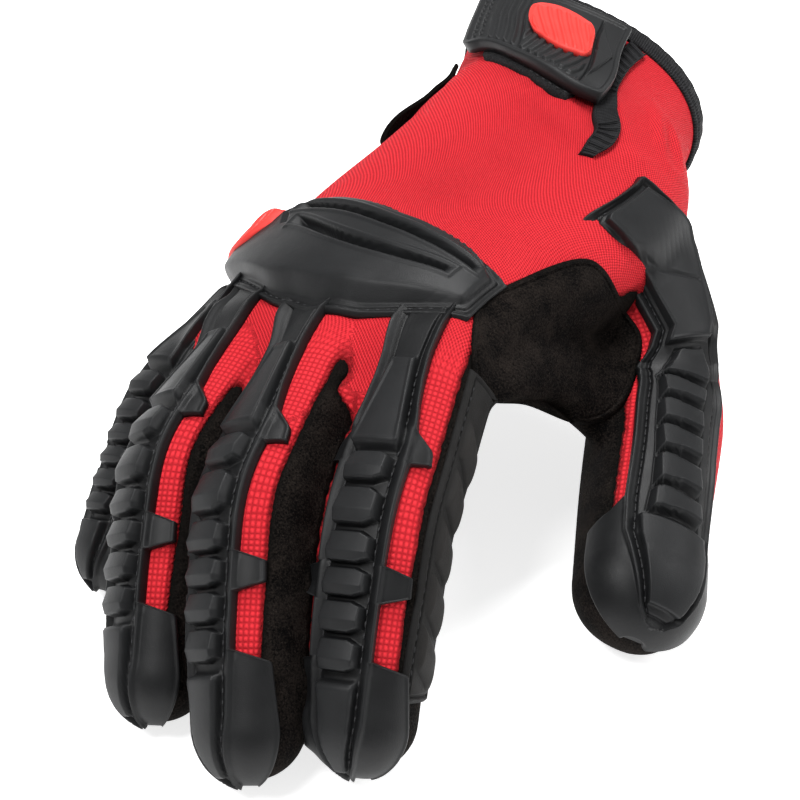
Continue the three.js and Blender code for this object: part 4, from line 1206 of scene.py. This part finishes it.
def tab_mesh():
    round_from = 0.84

    def place(a, b):
        y = 109.5 - 31 * b
        round_end = np.clip(1 - ((b - round_from) / (1 - round_from)) ** 2, 0.02, 1)
        half = 8.7 * np.sqrt(np.where(b > round_from, round_end, 1))
        ring = 2 * math.pi * a
        share = np.sign(np.cos(ring)) * np.abs(np.cos(ring)) ** 0.35
        thick = 0.8 * np.sign(np.sin(ring)) * np.abs(np.sin(ring)) ** 0.5
        height = 1.1 + 2.9 * b**2 + thick - 0.15 * hat((np.abs(share) - 0.78) / 0.1) * (thick > 0.3)
        return palm_seat.over(y, -88 + half * share, height), {"seam": 8 * (1 - np.abs(share))}

    return grid("pull_tab", 64, 90, place)


PATCH_FIRST, PATCH_LAST = 66 * DEG, 120 * DEG  # angles of the side patch
PATCH_START, PATCH_RUN, RIB_PITCH = 0.1, 0.74, 0.115  # shares of the finger's length


def side_patch_mesh():
    length, last = index.length, PATCH_LAST

    def place(a, b):
        u = length * (PATCH_START + PATCH_RUN * b)
        on_top, share = sleeve(a, 0.9)
        start = PATCH_FIRST + 0.05 * np.sin(b * math.pi)
        angle = start + (last - start) * share
        ends = np.minimum(b, 1 - b) * PATCH_RUN * length
        edge = np.minimum(np.minimum(angle - start, last - angle) * index.radius, ends)
        relief = rounded_edge(1.25, edge, 0.9) - 0.5 * hat((edge - 1.7) / 0.5)
        across = np.clip((angle - PATCH_FIRST) / (last - PATCH_FIRST), 0, 1)
        t = (u / length - 0.24 - 0.1 * across**1.2) / RIB_PITCH
        off = (t - np.clip(np.floor(t + 0.5), 0, 4)) * RIB_PITCH * length
        rib = np.sqrt(np.clip(1 - (np.abs(off) / 4.6) ** 2.4, 0, 1)) * ease((edge - 2.2) / 1.5)
        relief = np.where(on_top & (share > EDGE_SHARE), relief + 1.35 * rib, SUNK)
        return seats["index"].over(u, angle, relief), {"relief": relief}

    return grid("index_side_patch", 110, 330, place)


WEB_PATCH = np.array([
    [0.65, 0.2, 0.05], [0.78, 0.45, 0.1], [0.9, 0.95, -0.05], [1.02, 1.02, -0.35], [1.12, 0.98, -0.55],
    [1.1, 0.7, -0.75], [0.98, 0.45, -0.75], [0.9, 0.1, -0.42], [0.8, -0.15, -0.2],
]) * HALF_PALM
WEB_OUT = unit(np.array([0.55, -0.69, 0.47]))


def web_patch_mesh():
    outline = np.vstack([WEB_PATCH[-1:], WEB_PATCH, WEB_PATCH[:2]])
    middle = WEB_PATCH.mean(0)
    ring_t = lambda a: (1 + a * 9) / 11
    rings, spokes = 60, 220
    grid_a, grid_b = np.meshgrid(np.linspace(0, 1, spokes + 1), np.linspace(0, 1, rings + 1), indexing="ij")
    flat = middle + (spline(outline, ring_t(grid_a.ravel())) - middle) * grid_b.ravel()[:, None] ** 0.7
    origins = flat + WEB_OUT * 40
    depth = np.full(len(flat), np.nan)
    for k, origin in enumerate(origins):
        hit = SKIN.ray_cast(Vector(origin), Vector(-WEB_OUT), 90)
        depth[k] = 40 - hit[3] if hit[3] is not None else np.nan
    depth = depth.reshape(grid_a.shape)
    filled = np.where(np.isnan(depth), np.nanmean(depth), depth)
    filled[:, 0] = filled[:, 0].mean()
    soft = blurred(filled, 4, ring=True)

    def place(a, b):
        on_top, out = sleeve(b, 0.92)
        deep = bilinear(soft, a * spokes, out * rings)
        rim = spline(outline, ring_t(a))
        wide = np.linalg.norm(rim - middle, axis=1)
        edge = (1 - out**0.7) * wide
        relief = rounded_edge(1.2, edge, 0.9) - 0.45 * hat((edge - 2.0) / 0.55) + 0.5 * ease((edge - 2.6) / 4)
        height = np.where(on_top & (out < 0.9999), relief, -0.6)
        point = middle + (rim - middle) * (out**0.7)[:, None] + WEB_OUT * (deep + height)[:, None]
        return point, {"seam": edge}

    return grid("web_patch", 220, 76, place)


for mesh, finish, slot in [
    (side_patch_mesh(), EMBOSSED, "black_suede"),
    (web_patch_mesh(), BLACK_SUEDE, "black_suede"),
    (band("loop_patch", LOOP, 70, 130, loop_relief, -0.4), LOOP_PILE, "black_tape"),
    (band("closure_strap", STRAP, 130, 230, strap_relief, STRAP_LOW), BLACK_RUBBER, "black_rubber"),
    (binding_mesh(), RIBBED_TAPE, "black_tape"),
    (tape_mesh(), RIBBED_TAPE, "black_tape"),
    (tab_mesh(), BLACK_SUEDE, "black_suede"),
    (band("strap_badge", STRAP_BADGE, 60, 90, badge_relief(4.9, 6.3, 0.35), 4.5), RED_RUBBER, "red_rubber"),
    (band("knuckle_badge", KNUCKLE_BADGE, 50, 70, badge_relief(6.3, 8.0, 0.3), 5.8), RED_RUBBER, "red_rubber"),
]:
    name = mesh.name.split(".")[0]
    piece(name, mesh, finish, [name])

# Stitches


def sewn(name, paths, long=1.5, pitch=2.5, thick=0.42):
    """One piece of thread dashes along paths, each a list of points and of ways out of the cloth."""
    bm = bmesh.new()
    for points, outs in paths:
        gone = np.append(0, np.cumsum(np.linalg.norm(np.diff(points, axis=0), axis=1)))
        for at in np.arange(pitch / 2, gone[-1], pitch):
            here, ahead, out = (
                np.array([np.interp(where, gone, line[:, c]) for c in range(3)])
                for where, line in ((at, points), (at + 0.3, points), (at, outs))
            )
            if np.linalg.norm(ahead - here) < 1e-6:
                continue
            way = unit(ahead - here)
            side = unit(np.cross(unit(out), way))
            turn = np.column_stack([way * long, side * thick, np.cross(way, side) * thick]) / 2 * MM
            place = Matrix.Translation(Vector(here * MM)) @ Matrix(turn).to_4x4()
            bmesh.ops.create_icosphere(bm, subdivisions=1, radius=1, matrix=place)
    return mesh_of(name, bm)


def on_seat(seat, p, q, height):
    p, q, height = np.broadcast_arrays(p, q, height)
    points = seat.over(p, q, height)
    return points, unit(seat.over(p, q, height + 1.0) - points)


def finger_guard_seams(digit):
    at = np.linspace(-0.85, 6.75, 200)
    rim = straight(FINGER_RIM, at) - SEWN_IN / digit.radius
    return [on_seat(seats[digit.name], guard_place(digit, at), side * rim, 1.0) for side in (-1, 1)]


def thumb_guard_seams():
    u = np.linspace(6, 121.5, 240)
    left, right = sides_at(THUMB_RIM, u)
    inward = THUMB_SEWN_IN / thumb.radius
    left, right = left + inward, right - inward
    tip = np.linspace(left[-1], right[-1], 40)
    lines = [(u, left), (u[80:], right[80:]), (u[-1], tip)]
    return [on_seat(seats["thumb"], at, angle, 0.9) for at, angle in lines]


def knuckle_seams():
    degrees = np.linspace(-88, 66, 200)
    rear, front = edges_at(KNUCKLE_BAR, degrees)
    return [on_seat(palm_seat, y, degrees, 0.95) for y in (rear + KNUCKLE_SEWN_OUT, front - KNUCKLE_SEWN_OUT)]


def side_patch_seams():
    u = np.linspace(0.13, 0.81, 120) * index.length
    return [on_seat(seats["index"], u, angle, 0.85) for angle in (PATCH_FIRST + 0.16, PATCH_LAST - 0.13)]


def strap_seams():
    degrees = np.linspace(-30, -1, 50)
    return [on_seat(palm_seat, edges_at(LOOP, degrees)[1] + 1.6, degrees, 1.75)]


for digit in digits:
    seams = thumb_guard_seams() if digit is thumb else finger_guard_seams(digit)
    piece(digit.name + "_guard_stitches", sewn(digit.name, seams), THREAD)
piece("knuckle_guard_stitches", sewn("knuckle", knuckle_seams()), THREAD)
piece("side_patch_stitches", sewn("side", side_patch_seams()), THREAD)
piece("loop_patch_stitches", sewn("loop", strap_seams()), THREAD)

# The floor, the light and the camera


FLOOR_GAP = 0.3
FOCAL_PIXELS, PICTURE_PIXELS = 1953, 800


def placed(name, data):
    made = bpy.data.objects.new(name, data)
    bpy.context.scene.collection.objects.link(made)
    return made


def aimed(made, place, aim):
    made.location = place
    made.rotation_euler = (Vector(aim) - Vector(place)).to_track_quat("-Z", "Y").to_euler()


def studio():
    bm = bmesh.new()
    bmesh.ops.create_grid(bm, x_segments=4, y_segments=4, size=4)
    bmesh.ops.translate(bm, verts=bm.verts, vec=(0, 0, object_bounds()[0][2] - FLOOR_GAP * MM))
    floor = mesh_of("floor", bm)
    floor.materials.append(PAPER)
    placed("floor", floor)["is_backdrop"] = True
    world = bpy.data.worlds.new("studio")
    bpy.context.scene.world = world
    world.use_nodes = True
    background = world.node_tree.nodes["Background"]
    background.inputs["Color"].default_value = (1, 1, 1, 1)
    background.inputs["Strength"].default_value = 0.34
    bpy.context.scene.view_settings.view_transform = "Standard"
    for name, place, aim, wide, power in [
        ("key", (-0.55, -0.55, 1.1), (-0.05, -0.12, 0), 0.5, 12),
        ("top", (0.1, 0.35, 1.2), (-0.05, -0.1, 0), 0.6, 16),
        ("side", (0.9, -0.2, 0.7), (-0.02, -0.1, 0), 0.4, 4),
    ]:
        light = bpy.data.lights.new(name, "AREA")
        light.shape, light.size, light.energy = "DISK", wide, power
        aimed(placed(name, light), place, aim)


def camera():
    data = bpy.data.cameras.new("camera")
    data.sensor_width = 36
    data.lens = data.sensor_width * FOCAL_PIXELS / PICTURE_PIXELS
    data.clip_start, data.clip_end = 0.01, 20
    eye = placed("camera", data)
    aimed(eye, (-0.05184, -0.4966, 0.2702), (-0.05184, -0.13248, -0.00923))
    bpy.context.scene.camera = eye


studio()
camera()
